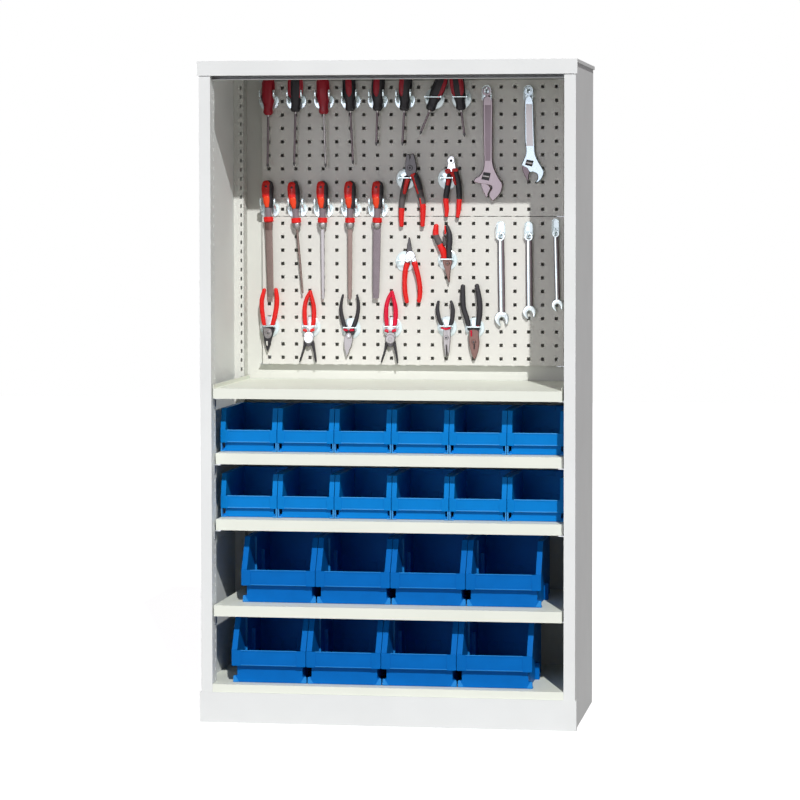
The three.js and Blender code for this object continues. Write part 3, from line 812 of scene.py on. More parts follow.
def bar_holder(name, column, row, width, height=4.0, reach=24.0):
    """A round plate, and a bar across in front of it on two arms. Its origin is the bar's middle."""
    shape = Shape()
    disc = [(4, 0.3), (25, 0.3), (26.5, 1.2), (27, 2.2), (25.5, 3.2), (4, 3.2)]
    shape.turned(disc, (0, -3, 0), "w", M_HOOK, 44, 1.06)
    half = width / 2
    bar = [(side * (half - 1.0), 0.0, reach, height / 2, 1.8) for side in SIDES]
    shape.sweep(bar, M_HOOK_BAR, sides=16, squareness=3.0)
    arm = [(9, 2.0), (5, reach * 0.6), (2, reach), (-2, reach), (-5, reach * 0.6), (-9, 2.0)]
    for side in SIDES:
        inner, outer = sorted((side * (half + 0.4), side * (half + 2.8)))
        shape.plate(arm, inner, outer, M_HOOK_BAR, 0.5, "u")
    hang(name, shape, column, row, reach)


LOOP_REACH = 16.0
PRONG_RADIUS = 2.2
PRONG_RISE = 6.0
PRONG_STEPS = 8


def prong(shape):
    """A round prong from the plate towards the viewer, turned up at its end."""
    rings = []
    for step in range(PRONG_STEPS + 1):
        t = step / PRONG_STEPS
        rings.append(circle(0, 1.5 + PRONG_RISE * t * t * t, 1.0 + (LOOP_REACH - 1.0) * t, PRONG_RADIUS, 12))
    shape.rings(rings, M_HOOK)


def loop_holder(name, column, row, width, top, bottom):
    """A clear tongue and a rim before it, with a prong through a tool's eye. Its origin is the eye."""
    shape = Shape()
    half = width / 2
    tongue = [(half, bottom + 2), (half, top - half), (half * 0.7, top - half * 0.3), (0, top)]
    tongue += mirrored(tongue)[1:] + [(-half * 0.6, bottom), (half * 0.6, bottom)]
    shape.plate(smooth_loop(tongue), 0.3, 2.8, M_HOOK)
    prong(shape)
    edge = [(half, bottom + 6), (half, top - half), (half * 0.72, top - half * 0.35), (0, top)]
    rim = [(u, v, LOOP_REACH, 0.9, 0.9) for u, v in edge + mirrored(edge)[1:]]
    shape.sweep(rim, M_HOOK_BAR, sides=12)
    # a short bright bar before the tongue: a painted glint
    painted_glint = [(-half * 0.35, v, LOOP_REACH, 1.6, 0.8) for v in (-4.0, top * 0.4)]
    shape.sweep(painted_glint, M_HOOK_BAR, sides=12)
    hang(name, shape, column, row, 8.0)


# Screwdrivers and files

HANDLE_RINGS = [
    # radius, height above the handle's lower end
    (8.0, -1.5), (10.5, 0.5), (13.0, 4.0), (13.4, 8.0), (12.0, 16.0), (12.8, 25.0), (16.0, 36.0),
    (17.6, 50.0), (18.0, 66.0), (17.4, 84.0), (14.6, 97.0), (10.5, 103.0), (5.0, 105.0),
]
HANDLE_FLATNESS = 0.86
HANDLE_FLUTES = 6
STRIPE_STATIONS = ((40, 4.0), (48, 7.5), (62, 8.6), (82, 8.4), (96, 6.5))  # height, half width
SCREWDRIVER_DEPTH = 18.0
FILE_DEPTH = 17.0


def lean_to(top, tip):
    """Length in millimetres from one column and row to another below it, and the lean in degrees."""
    ((across, down),) = from_origin(top, [tip])
    return math.hypot(across, down), math.degrees(math.atan2(across, -down))


def handle_radius(height):
    for (low_radius, low), (high_radius, high) in zip(HANDLE_RINGS, HANDLE_RINGS[1:]):
        if low <= height <= high:
            return low_radius + (high_radius - low_radius) * (height - low) / (high - low)


def screwdriver(name, place, tip, base_colour, stripes, shaft_colour):
    """A screwdriver hanging handle-up. Its origin is the handle's lower end.

    Stripes are their turns about the handle, in degrees.
    """
    shape = Shape()
    centre = (0, 0, SCREWDRIVER_DEPTH)
    shaft, lean = lean_to(place, tip)
    shape.turned(HANDLE_RINGS, centre, "v", base_colour, 48, HANDLE_FLATNESS, HANDLE_FLUTES)
    for degrees in stripes:
        turn = math.radians(degrees)
        path = []
        for height, half in STRIPE_STATIONS:
            out = handle_radius(height) - 1.6
            w = SCREWDRIVER_DEPTH + out * HANDLE_FLATNESS * math.cos(turn)
            path.append((out * math.sin(turn), height, w, half, 3.0))
        shape.sweep(path, M_SHADED_RED, sides=16)
    collar = [(3.6, -6.0), (4.2, -4.5), (4.2, 0.0), (3.4, 1.0)]
    shape.turned(collar, centre, "v", M_SATIN)
    shape.turned([(2.9, -shaft + 9.0), (2.9, -4.0)], centre, "v", shaft_colour, 20)
    bit = [(0.9, -shaft), (1.9, -shaft + 2.5), (3.3, -shaft + 6.0), (3.3, -shaft + 9.0), (2.9, -shaft + 11.0)]
    shape.turned(bit, centre, "v", M_DARK, 20)
    hang(name, shape, *place, SCREWDRIVER_DEPTH, lean)


def file_handle(shape):
    """A black core with red inlays towards the viewer, the lower one paler orange-red with painted sunlight,
    over a smoky neck.
    """
    depth = FILE_DEPTH
    core = [
        (0.6, 43, depth, 10.5, 9.5), (1.6, 50, depth, 13.0, 11.0), (1.4, 60, depth, 13.2, 11.5),
        (1.6, 74, depth, 14.4, 12.5), (1.4, 94, depth, 15.2, 12.5), (0.6, 104, depth, 14.0, 11.0),
    ]
    shape.sweep(core, M_BLACK, sides=28, squareness=2.5)
    neck = [(0, 12, depth, 9.4, 8.6), (0, 26, depth, 9.0, 8.4), (0.4, 44, depth, 10.4, 9.4)]
    shape.sweep(neck, M_NECK, sides=24, round_ends=False)
    upper = [
        (-2.6, 71, depth + 2.4, 13.0, 11.4), (-2.4, 92, depth + 2.4, 13.8, 11.6),
        (-0.8, 105, depth + 2.0, 13.2, 9.6),
    ]
    shape.sweep(upper, M_RED, sides=28, squareness=2.7)
    lower = [
        (-1.2, 45, depth + 3.4, 6.8, 9.0), (-1.8, 54, depth + 3.8, 9.6, 9.8),
        (-2.0, 67, depth + 3.8, 10.8, 10.6),
    ]
    shape.sweep(lower, M_SUNLIT_RED, sides=28, squareness=2.7)
    shape.turned([(3.2, 13.4), (3.0, 14.2), (1.0, 14.3)], (-2.0, 98, depth), "w", M_BLACK, 20)
    collar = [(9, -1), (12.5, 0.5), (14, 3), (13.2, 7), (14, 11), (12.5, 13.5), (9, 14.5)]
    shape.turned(collar, (0, 0, depth), "v", M_RED, 36, 0.85)


def file_tool(name, place, tip, half_width, half_depth, steel_colour, bolster_colour):
    """A file hanging handle-up. Its origin is the lower edge of the handle's collar."""
    shape = Shape()
    depth = FILE_DEPTH
    blade, lean = lean_to(place, tip)
    file_handle(shape)
    if bolster_colour is M_BRONZE:
        ferrule = [(0, -1, depth, 11.0, 4.5), (0, -12, depth, 10.8, 4.2), (0, -22, depth, 10.4, 3.8)]
        shape.sweep(ferrule, bolster_colour, round_ends=False, squareness=5.0)
    else:
        bolster = [(3, -18), (6, -17), (9.5, -13), (12, -8), (12.6, -3), (11, 1)]
        shape.turned(bolster, (0, 0, depth), "v", bolster_colour, 30, 0.8)
    flat_blade = [
        (0, -10, depth, half_width, half_depth),
        (0, -blade * 0.5, depth, half_width * 0.97, half_depth),
        (0, -blade + 22, depth, half_width * 0.84, half_depth * 0.9),
        (0, -blade, depth, half_width * 0.70, half_depth * 0.8),
    ]
    squareness = 2.0 if half_width == half_depth else 6.0
    shape.sweep(flat_blade, steel_colour, sides=20, round_ends=False, squareness=squareness)
    hang(name, shape, *place, depth, lean)


# Spanners and adjustable wrenches

SPANNER_JAW = [
    # u, v and half width along a horseshoe of the width below
    (-9.5, -17, 2.6), (-13, -7, 5.5), (-11, 5, 8.0), (0, 11.5, 8.5),
    (11, 5, 8.0), (13, -7, 5.5), (9.5, -17, 2.6),
]
SPANNER_JAW_WIDTH = 38.0
SPANNER_JAW_TURN = math.radians(15.0)
SPANNER_DEPTH = 9.0
WRENCH_DEPTH = 10.0
# An adjustable wrench's outlines in millimetres from its eye: its body goes down the left side of the shank,
# round the head and the fixed jaw, and up the right side
LONG_WRENCH = {
    "body": [
        (-8, -18), (-10.5, -30), (-9.4, -98), (-8.4, -164), (-7.6, -190), (-10, -213), (-20, -230),
        (-30, -235), (-36, -243), (-34, -248), (-15, -253), (1, -255), (11, -258), (14, -264), (9, -273),
        (5.5, -281), (8, -289), (16, -299), (26, -292), (36, -280), (42, -267), (43, -252), (33, -236),
        (21, -212), (16, -190), (15.4, -164), (15.6, -98), (16.5, -30), (12, -18), (2, -12),
    ],
    "jaw": [
        (-16, -250), (-14, -262), (-8, -277), (-1, -290), (2.5, -286), (4, -278), (8, -270), (10, -264),
        (2, -254),
    ],
    "window": [(-8.5, -220), (-15, -240), (6.5, -244), (11, -223)],
    "inset": [(-6, -38), (-4, -190), (10.5, -190), (12, -38)],
}
SHORT_WRENCH = {
    "body": [
        (-7, -18), (-10.5, -30), (-10, -80), (-9.6, -133), (-6.5, -164), (-11.7, -183), (-18.5, -198),
        (-17, -204), (-5, -210), (3, -221), (14, -221), (23, -226), (25.5, -236), (20, -246), (16.5, -251),
        (28, -248), (38, -236), (43, -220), (38, -209), (28, -192), (19, -171), (16.7, -139), (14.5, -80),
        (13, -30), (9, -18), (1, -12),
    ],
    "jaw": [
        (-17, -203), (-16, -215), (-10.5, -230), (-3, -244), (0.8, -249), (0.4, -238), (1, -227), (4, -220),
        (-3, -208),
    ],
    "window": [(-4.4, -186), (-9.7, -201), (10.3, -206), (14.7, -190)],
    "inset": [(-7, -36), (-5.5, -150), (13, -150), (10, -36)],
}
WORM_STEPS = 12


def combination_spanner(name, place, tip, ring_outer, half_width, jaw_width):
    """A spanner hanging from its ring. Its origin is the ring's centre, and the tip is its jaw's middle."""
    shape = Shape()
    depth = SPANNER_DEPTH
    length, lean = lean_to(place, tip)
    shape.ring((0, 0, depth), ring_outer * 0.60, ring_outer, -4.5, 4.5, M_CHROME, 48, 12)
    shank = [
        # v, swelling
        (-ring_outer * 0.8, 0.80), (-ring_outer * 1.5, 0.95), (-length * 0.5, 1.0),
        (-length + jaw_width * 0.55, 1.0), (-length + jaw_width * 0.40, 1.15),
    ]
    # a wider dark steel shank under a narrower chrome one, set to the right: painted dark reflections on the
    # edges, the right one wider
    for colour, shift, share, half_depth in ((M_SHADE_DARK_STEEL, 0.5, 1.0, 3.2), (M_CHROME, -0.9, 0.66, 4.0)):
        path = [(shift, v, depth, half_width * share * swell, half_depth) for v, swell in shank]
        shape.sweep(path, colour, sides=28, squareness=2.3)
    scale = jaw_width / SPANNER_JAW_WIDTH
    cosine, sine = math.cos(SPANNER_JAW_TURN), math.sin(SPANNER_JAW_TURN)
    jaw = []
    for u, v, half in SPANNER_JAW:
        turned_u, turned_v = u * cosine - v * sine, u * sine + v * cosine
        jaw.append((turned_u * scale, turned_v * scale - length, depth, half * scale, 4.2))
    shape.sweep(jaw, M_CHROME, sides=24, squareness=3.5)
    hang(name, shape, *place, depth, lean)


def adjustable_wrench(name, place, outlines, colour, jaw_colour, recess_shade_colour):
    """An adjustable wrench hanging from its eye. Its origin is the eye's centre."""
    shape = Shape()
    depth = WRENCH_DEPTH
    corners = outlines["window"]
    shape.ring((1, -1, depth), 6.0, 13.0, -4.0, 4.0, colour, 40)
    shape.plate(smooth_loop(outlines["body"]), depth - 5.0, depth + 5.0, colour, 2.2)
    shape.plate(smooth_loop(outlines["jaw"]), depth - 3.8, depth + 4.2, jaw_colour, 1.4)
    # a black plate over the worm's window: painted shade in the opening
    shape.plate(corners, depth + 4.0, depth + 5.2, M_BLACK, 0.4)
    # a darker steel plate in the handle's recess: painted shade
    shape.plate(outlines["inset"], depth + 4.4, depth + 5.2, recess_shade_colour, 0.4)
    middle_u, middle_v = sum(p[0] for p in corners) / 4, sum(p[1] for p in corners) / 4
    slant = (corners[3][1] - corners[0][1]) / (corners[3][0] - corners[0][0])
    half_width = (corners[2][0] - corners[1][0]) * 0.36
    worm = []
    for step in range(WORM_STEPS + 1):
        along = half_width * (step / (WORM_STEPS / 2) - 1.0)
        thread = 3.2 if step % 2 else 2.5
        worm.append((middle_u + along, middle_v + along * slant, depth + 5.0, thread, 2.4))
    shape.sweep(worm, M_SATIN, sides=16)
    hang(name, shape, *place, depth)


# Pliers, by hole columns and rows as seen against the panels

PLIERS_DEPTH = 12.5


def pliers(number, pivot, grips, jaws, boss, holder, inlays=()):
    """Pliers whose origin is their pivot, and their holder by its column, row and width.

    A grip is its material, or its bands of (share of the way at the band's end, material), and its
    (column, row, half width) points. Inlays are like grips, on their fronts. Jaws are outlines. The boss
    is its radius, its material and its rivet's.
    """
    shape = Shape()
    for i, (colour, points) in enumerate(grips):
        first, bands = (colour[0][1], colour) if isinstance(colour, list) else (colour, None)
        level = PLIERS_DEPTH + (0.8 if i else -0.8)
        path = [(u, v, level, half, half * 0.85) for u, v, half in from_origin(pivot, points)]
        shape.sweep(path, first, sides=20, bands=bands)
    for colour, points in inlays:
        path = [(u, v, PLIERS_DEPTH + 6.0, half, 3.6) for u, v, half in from_origin(pivot, points)]
        shape.sweep(path, colour, sides=16)
    for i, (colour, points) in enumerate(jaws):
        outline = anticlockwise(smooth_loop(from_origin(pivot, points)))
        half_depth = 4.6 + 0.4 * i
        shape.plate(outline, PLIERS_DEPTH - half_depth, PLIERS_DEPTH + half_depth, colour, 1.2)
    radius, colour, rivet_colour = boss
    front = (0, 0, PLIERS_DEPTH + 5.0)
    shape.turned([(radius, -2.0), (radius, 1.2), (radius - 1.4, 2.4), (1, 2.6)], front, "w", colour, 36)
    rivet = radius * 0.42
    shape.turned([(rivet, 2.0), (rivet, 3.0), (rivet - 0.8, 3.6), (0.5, 3.6)], front, "w", rivet_colour, 28)
    hang(f"pliers_{number}", shape, *pivot, PLIERS_DEPTH)
    bar_holder(f"pliers_holder_{number}", *holder)


# What hangs where, by hole column and row as seen against the panels

SCREWDRIVERS = [
    # the handle's lower end, the tip, handle, turns of the red stripes in painted shade, shaft, fork's column
    ((-0.05, 1.96), (-0.10, 5.89), M_SHADED_RED, (), M_SHADE_DARK_STEEL, -0.02),
    ((1.97, 1.74), (1.86, 5.78), M_BLACK, (-58, 52), M_SHADE_DARK_STEEL, 2.0),
    ((4.06, 1.91), (4.18, 5.89), M_SHADED_RED, (), M_SATIN, 4.05),
    ((6.01, 1.69), (6.20, 5.67), M_BLACK, (4,), M_SHADE_DARK_STEEL, 6.02),
    ((7.99, 1.69), (7.90, 4.31), M_BLACK, (-8,), M_SHADE_DARK_STEEL, 8.0),
    ((9.95, 1.69), (9.81, 4.31), M_BLACK, (-28,), M_SHADE_DARK_STEEL, 9.98),
    ((11.82, 1.67), (11.10, 3.48), M_BLACK, (38,), M_SHADE_DARK_STEEL, None),
    ((14.10, 1.67), (14.35, 3.66), M_BLACK, (-48, 30), M_SHADE_DARK_STEEL, None),
]
SCREWDRIVER_BARS = {7: (12.04, 40), 8: (14.00, 34)}  # column and width of the bars that carry the last two
FORK_ROW = 0.67
BAR_ROW = 0.71
FILE_FORK_ROW = 8.7
FILES = [
    # the collar's lower edge, the tip, half width, half depth, blade, bolster
    ((-0.04, 9.90), (0.10, 15.50), 10.0, 2.2, M_FILE, M_BRONZE),
    ((2.02, 9.98), (2.47, 15.20), 3.4, 3.4, M_FILE, M_SATIN),
    ((3.95, 9.96), (3.98, 15.60), 5.0, 2.0, M_SATIN, M_SATIN),
    ((5.97, 9.96), (5.95, 15.64), 6.6, 2.2, M_FILE, M_SATIN),
    ((7.96, 9.96), (7.86, 15.55), 10.6, 2.2, M_GREY_FILE, M_SATIN),
]
WRENCHES = [
    # the eye, outlines, body, jaw, inset (painted shade in the handle's recess)
    ((15.97, 0.30), LONG_WRENCH, M_SHADED_WRENCH_STEEL, M_SHADED_WRENCH_STEEL, M_SHADE_DARK_STEEL),
    ((18.98, 0.30), SHORT_WRENCH, M_SILVER, M_SHADE_DARK_STEEL, M_SATIN),
]
SPANNERS = [
    # the ring's centre, the middle of the jaw, ring's outer radius, shank's half width, jaw width
    ((16.97, 10.95), (17.05, 17.0), 12.0, 9.3, 38.0),
    ((19.00, 10.97), (19.05, 16.5), 11.5, 9.0, 35.0),
    ((20.95, 10.75), (21.08, 15.98), 9.5, 7.0, 31.0),
]


def spread_pliers(c, grip, boss_colour):
    """Pliers about column c whose grips meet at the top and whose jaws are two thin legs spread apart."""
    return {
        "pivot": (c, 18.58),
        "grips": [
            (grip, [
                (c - 0.27, 17.6, 5.8), (c - 0.32, 16.9, 6.4), (c - 0.3, 16.2, 6.2), (c - 0.16, 15.6, 5.6),
                (c + 0.1, 15.1, 4.6),
            ]),
            (grip, [
                (c + 0.3, 17.6, 6), (c + 0.38, 16.9, 6.6), (c + 0.36, 16.2, 6.2), (c + 0.24, 15.6, 5.4),
                (c + 0.12, 15.08, 4.4),
            ]),
        ],
        "jaws": [
            (boss_colour, [
                (c - 0.3, 18.2), (c, 18.05), (c + 0.32, 18.2), (c + 0.34, 18.7), (c, 18.95),
                (c - 0.32, 18.7),
            ]),
            (M_BLACK, [
                (c - 0.33, 18.7), (c - 0.16, 18.9), (c - 0.3, 19.35), (c - 0.62, 20.28), (c - 0.7, 20.22),
                (c - 0.46, 19.4),
            ]),
            (M_BLACK, [
                (c + 0.34, 18.7), (c + 0.46, 19.4), (c + 0.56, 20.25), (c + 0.48, 20.3), (c + 0.3, 19.4),
                (c + 0.18, 18.9),
            ]),
            (M_DARK, [(c - 0.22, 18.85), (c + 0.24, 18.85), (c + 0.12, 19.12), (c - 0.1, 19.16)]),
        ],
        "boss": (13, boss_colour, boss_colour),
        "inlays": [
            (grip, [(c - 0.32, 17.95, 4.4), (c - 0.2, 18, 4)]),
            (grip, [(c + 0.2, 17.98, 4), (c + 0.36, 17.93, 4.4)]),
        ],
        "holder": (c + 0.03, 17.66, 33),
    }


PLIERS = {}
PLIERS[1] = {
    "pivot": (10.39, 5.95),
    "grips": [
        ([(0.36, M_BLACK), (0.66, M_GREY), (0.94, M_RED), (1, M_GREY)], [
            (10.16, 6.75, 11), (10.02, 7.3, 10.4), (9.84, 8, 9), (9.74, 9.1, 8), (9.74, 10.2, 6),
        ]),
        ([(0.44, M_BLACK), (0.66, M_GREY), (0.94, M_RED), (1, M_GREY)], [
            (10.72, 6.55, 10.5), (10.92, 7.1, 11), (11.12, 7.9, 9.8), (11.31, 8.8, 8.6), (11.28, 10.2, 6),
        ]),
    ],
    "jaws": [
        (M_DARK, [
            (10.15, 4.95), (10.36, 5.05), (10.4, 6), (10.34, 6.62), (10.1, 6.4), (10.02, 5.9), (10.08, 5.3),
        ]),
        (M_DARK, [
            (10.62, 4.92), (10.78, 5.4), (10.86, 6), (10.74, 6.4), (10.36, 6.62), (10.3, 6), (10.42, 5.05),
        ]),
    ],
    "boss": (7.5, M_DARK, M_BLACK),
    "inlays": [
        (M_RED, [(10.2, 6.8, 6.4), (10.08, 7.3, 6), (9.98, 7.8, 4.6)]),
        (M_RED, [(10.6, 6.45, 7.6), (10.74, 6.75, 6.4), (10.84, 7.2, 5.2), (11, 7.8, 3.4)]),
        (M_RED, [(11.14, 8.2, 2.4), (11.22, 8.9, 2.4)]),
    ],
    "holder": (9.98, 6.68, 30),
}
PLIERS[2] = {
    "pivot": (13.39, 5.42),
    "grips": [
        ([(0.5, M_BLACK), (0.92, M_RED), (1, M_BLACK)], [
            (13.28, 6.35, 7.4), (13.12, 7.3, 8.2), (12.98, 8.2, 7.8), (13.04, 9, 6.6), (13.02, 9.5, 5.2),
        ]),
        ([(0.52, M_BLACK), (0.92, M_RED), (1, M_BLACK)], [
            (13.68, 6.2, 8.6), (13.9, 7.2, 8.4), (13.96, 8.1, 7.8), (13.92, 9, 6.6), (13.84, 9.55, 5.2),
        ]),
    ],
    "jaws": [
        (M_BRIGHT, [
            (13.2, 5.2), (13.4, 5.08), (13.62, 5.2), (13.66, 5.6), (13.7, 6.1), (13.4, 6.3), (13.1, 6.1),
            (13.16, 5.6),
        ]),
    ],
    "boss": (10, M_BRIGHT, M_BLACK),
    "inlays": [
        (M_RED, [(13.04, 6.24, 7), (13.26, 6.14, 6.4)]),
        (M_RED, [(13.54, 6.12, 5.6), (13.8, 6.1, 5)]),
        (M_RED, [(13.46, 6.3, 5.4), (13.58, 6.7, 4.8), (13.7, 7.15, 3.2)]),
        (M_RED, [(13.2, 6.85, 5.6), (13.14, 7.15, 4.8)]),
    ],
    "holder": (13.02, 6.68, 30),
}
PLIERS[3] = {
    "pivot": (10.43, 12.38),
    "grips": [
        (M_RED, [
            (10.16, 12.95, 8), (10.02, 13.5, 7.4), (9.97, 14.3, 6.9), (10, 15.1, 6.9), (10.13, 15.8, 6),
        ]),
        (M_RED, [
            (10.7, 12.95, 8.2), (10.86, 13.5, 7.2), (11.04, 14.3, 6.9), (11.1, 15.1, 6.9), (11.02, 15.75, 6),
        ]),
    ],
    "jaws": [
        (M_DARK, [
            (10.3, 11.02), (10.4, 11.25), (10.52, 12), (10.62, 12.3), (10.4, 12.5), (10.12, 12.3),
            (10.15, 11.9), (10.22, 11.35),
        ]),
        (M_BRIGHT, [
            (10.12, 12.3), (10.4, 12.05), (10.72, 12.3), (10.82, 12.8), (10.62, 12.9), (10.44, 12.72),
            (10.22, 12.9), (10.04, 12.8),
        ]),
    ],
    "boss": (13, M_BRIGHT, M_BRIGHT),
    "holder": (9.92, 12.75, 34),
}
PLIERS[4] = {
    "pivot": (13.12, 12.95),
    "grips": [
        ([(0.42, M_RED), (0.64, M_GREY), (1, M_RED)], [
            (12.86, 12.55, 8.2), (12.8, 12.15, 9.2), (12.56, 11.55, 9.2), (12.3, 11, 8.4),
            (12.24, 10.6, 8.2), (12.28, 10.2, 7),
        ]),
        (M_BLACK, [
            (13.22, 12.5, 7.6), (13.22, 11.9, 8), (13.26, 11.3, 8.2), (13.24, 10.8, 7.6),
            (13.08, 10.25, 5.6),
        ]),
    ],
    "jaws": [
        (M_BRONZE, [
            (12.78, 12.72), (13.42, 12.72), (13.36, 13.2), (13.3, 13.7), (13.24, 14.4), (13.06, 13.9),
            (12.92, 13.4),
        ]),
    ],
    "boss": (6, M_BRONZE, M_DARK),
    "inlays": [
        (M_RED, [(12.94, 10.2, 2.2), (12.97, 10.75, 2.4)]),
        (M_GREY, [(12.86, 11.05, 4.6), (12.92, 11.55, 4.6)]),
    ],
    "holder": (13.02, 12.64, 32),
}
PLIERS[5] = {
    "pivot": (-0.09, 18.18),
    "grips": [
        (M_RED, [
            (-0.4, 17.6, 5.8), (-0.48, 17.1, 6.2), (-0.56, 16.4, 6.4), (-0.56, 15.7, 6.4),
            (-0.38, 14.98, 5.4),
        ]),
        (M_RED, [
            (0.22, 17.6, 6), (0.38, 17, 6.6), (0.52, 16.3, 6.8), (0.56, 15.6, 6.6), (0.48, 14.95, 5.6),
        ]),
    ],
    "jaws": [
        (M_BLACK, [
            (-0.44, 17.85), (0.34, 17.8), (0.26, 18.3), (0.14, 18.7), (0.02, 19.2), (-0.14, 19.55),
            (-0.26, 19.2), (-0.4, 18.6),
        ]),
        (M_SATIN, [
            (-0.42, 17.85), (0.1, 17.85), (0.22, 18.2), (0.12, 18.5), (-0.12, 18.62), (-0.36, 18.45),
        ]),
    ],
    "boss": (6, M_SATIN, M_DARK),
    "inlays": [
        (M_PANEL, [(-0.16, 18.85, 2.4), (-0.15, 19.1, 2)]),
    ],
    "holder": (-0.1, 17.67, 32),
}
PLIERS[6] = spread_pliers(2.92, M_RED, M_BRIGHT)
PLIERS[8] = spread_pliers(8.93, M_CRIMSON, M_SATIN)
PLIERS[7] = {
    "pivot": (5.88, 18.35),
    "grips": [
        (M_BLACK, [
            (5.58, 17.75, 6), (5.44, 17.3, 6.2), (5.3, 16.6, 5.4), (5.3, 16, 4.4), (5.44, 15.35, 3.2),
        ]),
        (M_BLACK, [
            (6.18, 17.75, 6.4), (6.4, 17.2, 6.2), (6.56, 16.5, 5.2), (6.58, 15.9, 4.4), (6.48, 15.35, 3.2),
        ]),
    ],
    "jaws": [
        (M_BLACK, [(5.62, 18), (6.28, 17.95), (6.24, 18.25), (5.98, 18.3), (5.72, 18.2)]),
        (M_SATIN, [
            (5.6, 18.3), (5.8, 18.15), (6.12, 18.3), (6.14, 18.8), (5.98, 19.3), (5.74, 19.85), (5.56, 19.3),
            (5.52, 18.8),
        ]),
    ],
    "boss": (8.5, M_SATIN, M_BRIGHT),
    "inlays": [
        (M_CRIMSON, [(5.58, 17.9, 4), (5.74, 17.93, 3.6)]),
        (M_CRIMSON, [(6.02, 17.93, 3.8), (6.2, 17.9, 4.2)]),
    ],
    "holder": (5.92, 17.76, 30),
}
PLIERS[9] = {
    "pivot": (13.02, 18.45),
    "grips": [
        (M_BLACK, [
            (12.66, 17.5, 5.4), (12.5, 17.1, 5.6), (12.38, 16.5, 5.6), (12.38, 16.1, 5), (12.44, 15.8, 3.8),
        ]),
        (M_BLACK, [
            (13.34, 17.5, 6), (13.44, 17.1, 6.2), (13.5, 16.5, 5.8), (13.46, 16.1, 5), (13.36, 15.78, 3.8),
        ]),
    ],
    "jaws": [
        (M_SATIN, [
            (12.84, 17.75), (13.28, 17.75), (13.32, 18.4), (13.28, 19), (13.2, 19.7), (13.12, 19.8),
            (13.06, 19), (13, 18.3),
        ]),
        (M_SATIN, [
            (12.86, 17.75), (13.1, 18.2), (13.1, 19), (13.06, 19.9), (12.96, 19.8), (12.84, 19),
            (12.8, 18.3),
        ]),
    ],
    "boss": (6.4, M_SATIN, M_BLACK),
    "inlays": [
        (M_CRIMSON, [(12.72, 17.72, 3.4), (13.02, 17.8, 3.2), (13.3, 17.72, 3.4)]),
        (M_DARK, [(13.02, 19, 1.4), (13.04, 19.85, 1.2)]),
    ],
    "holder": (12.98, 17.6, 31),
}
PLIERS[10] = {
    "pivot": (15.02, 18.75),
    "grips": [
        ([(0.08, M_CRIMSON), (1, M_BLACK)], [
            (14.62, 17.55, 6.4), (14.5, 17, 7.4), (14.28, 16.3, 7.4), (14.22, 15.6, 7.4),
            (14.22, 14.65, 6.2),
        ]),
        ([(0.08, M_CRIMSON), (1, M_BLACK)], [
            (15.32, 17.5, 6.6), (15.42, 16.9, 7.8), (15.46, 16.2, 7.8), (15.4, 15.5, 7.6),
            (15.24, 14.6, 6.2),
        ]),
    ],
    "jaws": [
        (M_BLACK, [(14.62, 17.72), (15.36, 17.72), (15.34, 17.95), (14.68, 17.95)]),
        (M_BRONZE, [
            (14.7, 17.9), (15.34, 17.9), (15.38, 18.4), (15.42, 18.9), (15.3, 19.6), (15.12, 20),
            (14.98, 19.95), (14.78, 19.3), (14.68, 18.7),
        ]),
    ],
    "boss": (6.5, M_BRONZE, M_DARK),
    "inlays": [
        (M_DARK, [(15.06, 18.9, 1.9), (15.06, 19.25, 1.7)]),
        (M_CRIMSON, [(14.84, 17.95, 2.4), (14.86, 18.3, 2.2)]),
    ],
    "holder": (15, 17.66, 33),
}


def hang_screwdrivers():
    for i, (place, tip, *colours, fork_column) in enumerate(SCREWDRIVERS, 1):
        screwdriver(f"screwdriver_{i}", place, tip, *colours)
        if fork_column is not None:
            fork_holder(f"screwdriver_holder_{i}", fork_column, FORK_ROW)
    for i, (column, width) in SCREWDRIVER_BARS.items():
        bar_holder(f"screwdriver_holder_{i}", column, BAR_ROW, width, 3.2, 36.0)


def hang_files():
    for i, (place, tip, *form) in enumerate(FILES, 1):
        file_tool(f"file_{i}", place, tip, *form)
        fork_holder(f"file_holder_{i}", place[0] + 0.05, FILE_FORK_ROW)


def hang_wrenches():
    for i, (eye, outlines, *colours) in enumerate(WRENCHES, 1):
        adjustable_wrench(f"adjustable_wrench_{i}", eye, outlines, *colours)
        loop_holder(f"adjustable_wrench_holder_{i}", *eye, 24.0, 15.0, -30.0)
    for i, (place, tip, ring_outer, half_width, jaw_width) in enumerate(SPANNERS, 1):
        combination_spanner(f"combination_spanner_{i}", place, tip, ring_outer, half_width, jaw_width)
        loop_holder(f"combination_spanner_holder_{i}", *place, 2 * ring_outer - 1.0, 41.0, -4.0)


def hang_pliers():
    for number, form in PLIERS.items():
        pliers(number, **form)


# Floor, lights and camera

FLOOR_REACH = 12.0
FLOOR_WHITE = (0.45, 0.45, 0.45)
FLOOR_GLOW = 0.86
WORLD_LIGHT = 0.155
SHADE_TINT = (1.0, 0.87, 0.97)
WHITE = (1.0, 1.0, 1.0, 1.0)


def floor_material():
    """A pale floor that looks white to the camera and in reflections, and still keeps shadows."""
    recipe = Recipe("floor_white")
    recipe.set("Base Color", (*FLOOR_WHITE, 1.0))
    recipe.set("Roughness", 0.9)
    recipe.set("Specular IOR Level", 0.0)
    recipe.set("Emission Color", WHITE)
    recipe.feed("Emission Strength", recipe.seen_directly(FLOOR_GLOW))
    return recipe.material


def lay_floor():
    mesh = bpy.data.meshes.new("floor")
    corners = [(x * FLOOR_REACH, y * FLOOR_REACH, 0) for x, y in ((-1, -1), (1, -1), (1, 1), (-1, 1))]
    mesh.from_pydata(corners, [], [(0, 1, 2, 3)])
    mesh.materials.append(floor_material())
    floor = add_object("floor", mesh)


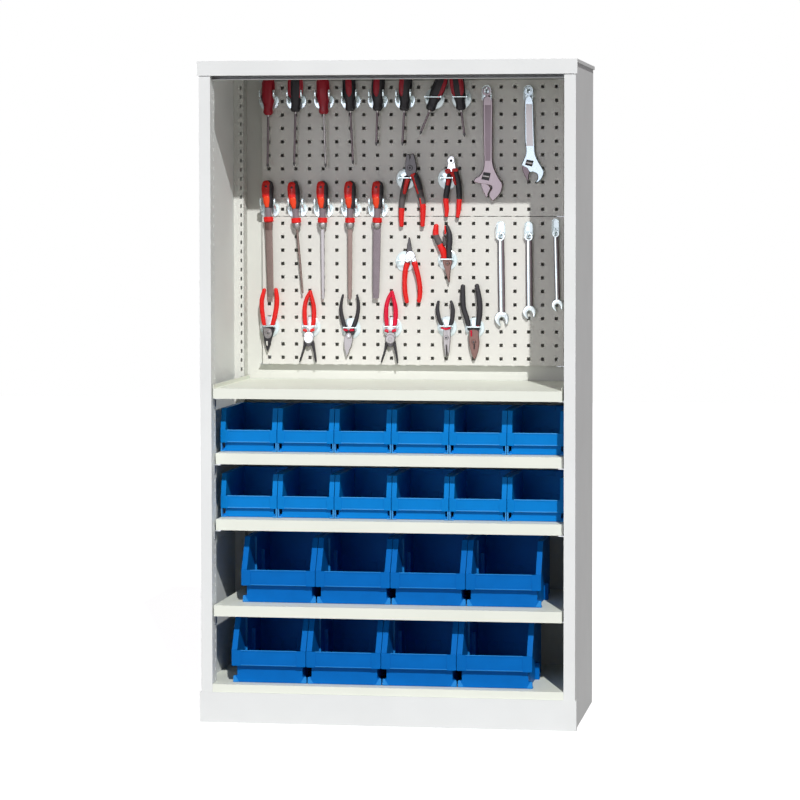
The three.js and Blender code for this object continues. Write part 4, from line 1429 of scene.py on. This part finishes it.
def light_world():
    """Even soft light from all round, and plain white where the camera or a reflection sees it."""
    world = bpy.data.worlds.new("studio")
    bpy.context.scene.world = world
    world.use_nodes = True
    nodes = Nodes(world.node_tree)
    soft = nodes.tree.nodes["Background"]
    soft.inputs["Color"].default_value = (*SHADE_TINT, 1.0)
    soft.inputs["Strength"].default_value = WORLD_LIGHT
    white = nodes.add("ShaderNodeBackground", {"Color": WHITE, "Strength": 1.0})
    mix = nodes.add("ShaderNodeMixShader")
    nodes.link(nodes.seen_directly(1.0), mix.inputs["Fac"])
    nodes.link(soft.outputs["Background"], mix.inputs[1])
    nodes.link(white.outputs["Background"], mix.inputs[2])
    nodes.link(mix.outputs["Shader"], nodes.tree.nodes["World Output"].inputs["Surface"])


def add_sun(name, towards, strength, spread_degrees, colour=(1.0, 1.0, 1.0)):
    """A far lamp that shines evenly on everything, from the side that the direction points to."""
    lamp = bpy.data.lights.new(name, "SUN")
    lamp.energy = strength
    lamp.color = colour
    lamp.angle = math.radians(spread_degrees)
    holder = add_object(name, lamp)
    holder.rotation_euler = (-Vector(towards)).to_track_quat("-Z", "Y").to_euler()


def light_studio():
    light_world()
    add_sun("key", (0.256, -0.758, 0.600), 2.82, 0.7)
    add_sun("front_fill", (-0.28, -0.95, 0.13), 0.36, 24.0, (0.94, 0.95, 1.1))
    add_sun("rear_fill", (-0.50, 0.75, 0.35), 1.1, 50.0)


CAMERA_TURN = 7.957  # degrees to the left of straight ahead
CAMERA_DIP = 2.666
CAMERA_LENS = 130.1
CAMERA_SENSOR = 36.0
CAMERA_SHIFT = (-0.10, -0.08)


def set_camera():
    camera = bpy.data.cameras.new("camera")
    camera.lens = CAMERA_LENS
    camera.sensor_width = CAMERA_SENSOR
    camera.shift_x, camera.shift_y = CAMERA_SHIFT
    holder = add_object("camera", camera, CAMERA_PLACE)
    holder.rotation_euler = (math.radians(90.0 - CAMERA_DIP), 0.0, math.radians(CAMERA_TURN))
    bpy.context.scene.camera = holder
    bpy.context.scene.view_settings.view_transform = "Standard"


set_camera()
light_studio()
lay_floor()
dress_solids()
slot_uprights()
mould_bins()
hang_screwdrivers()
hang_files()
hang_wrenches()
hang_pliers()
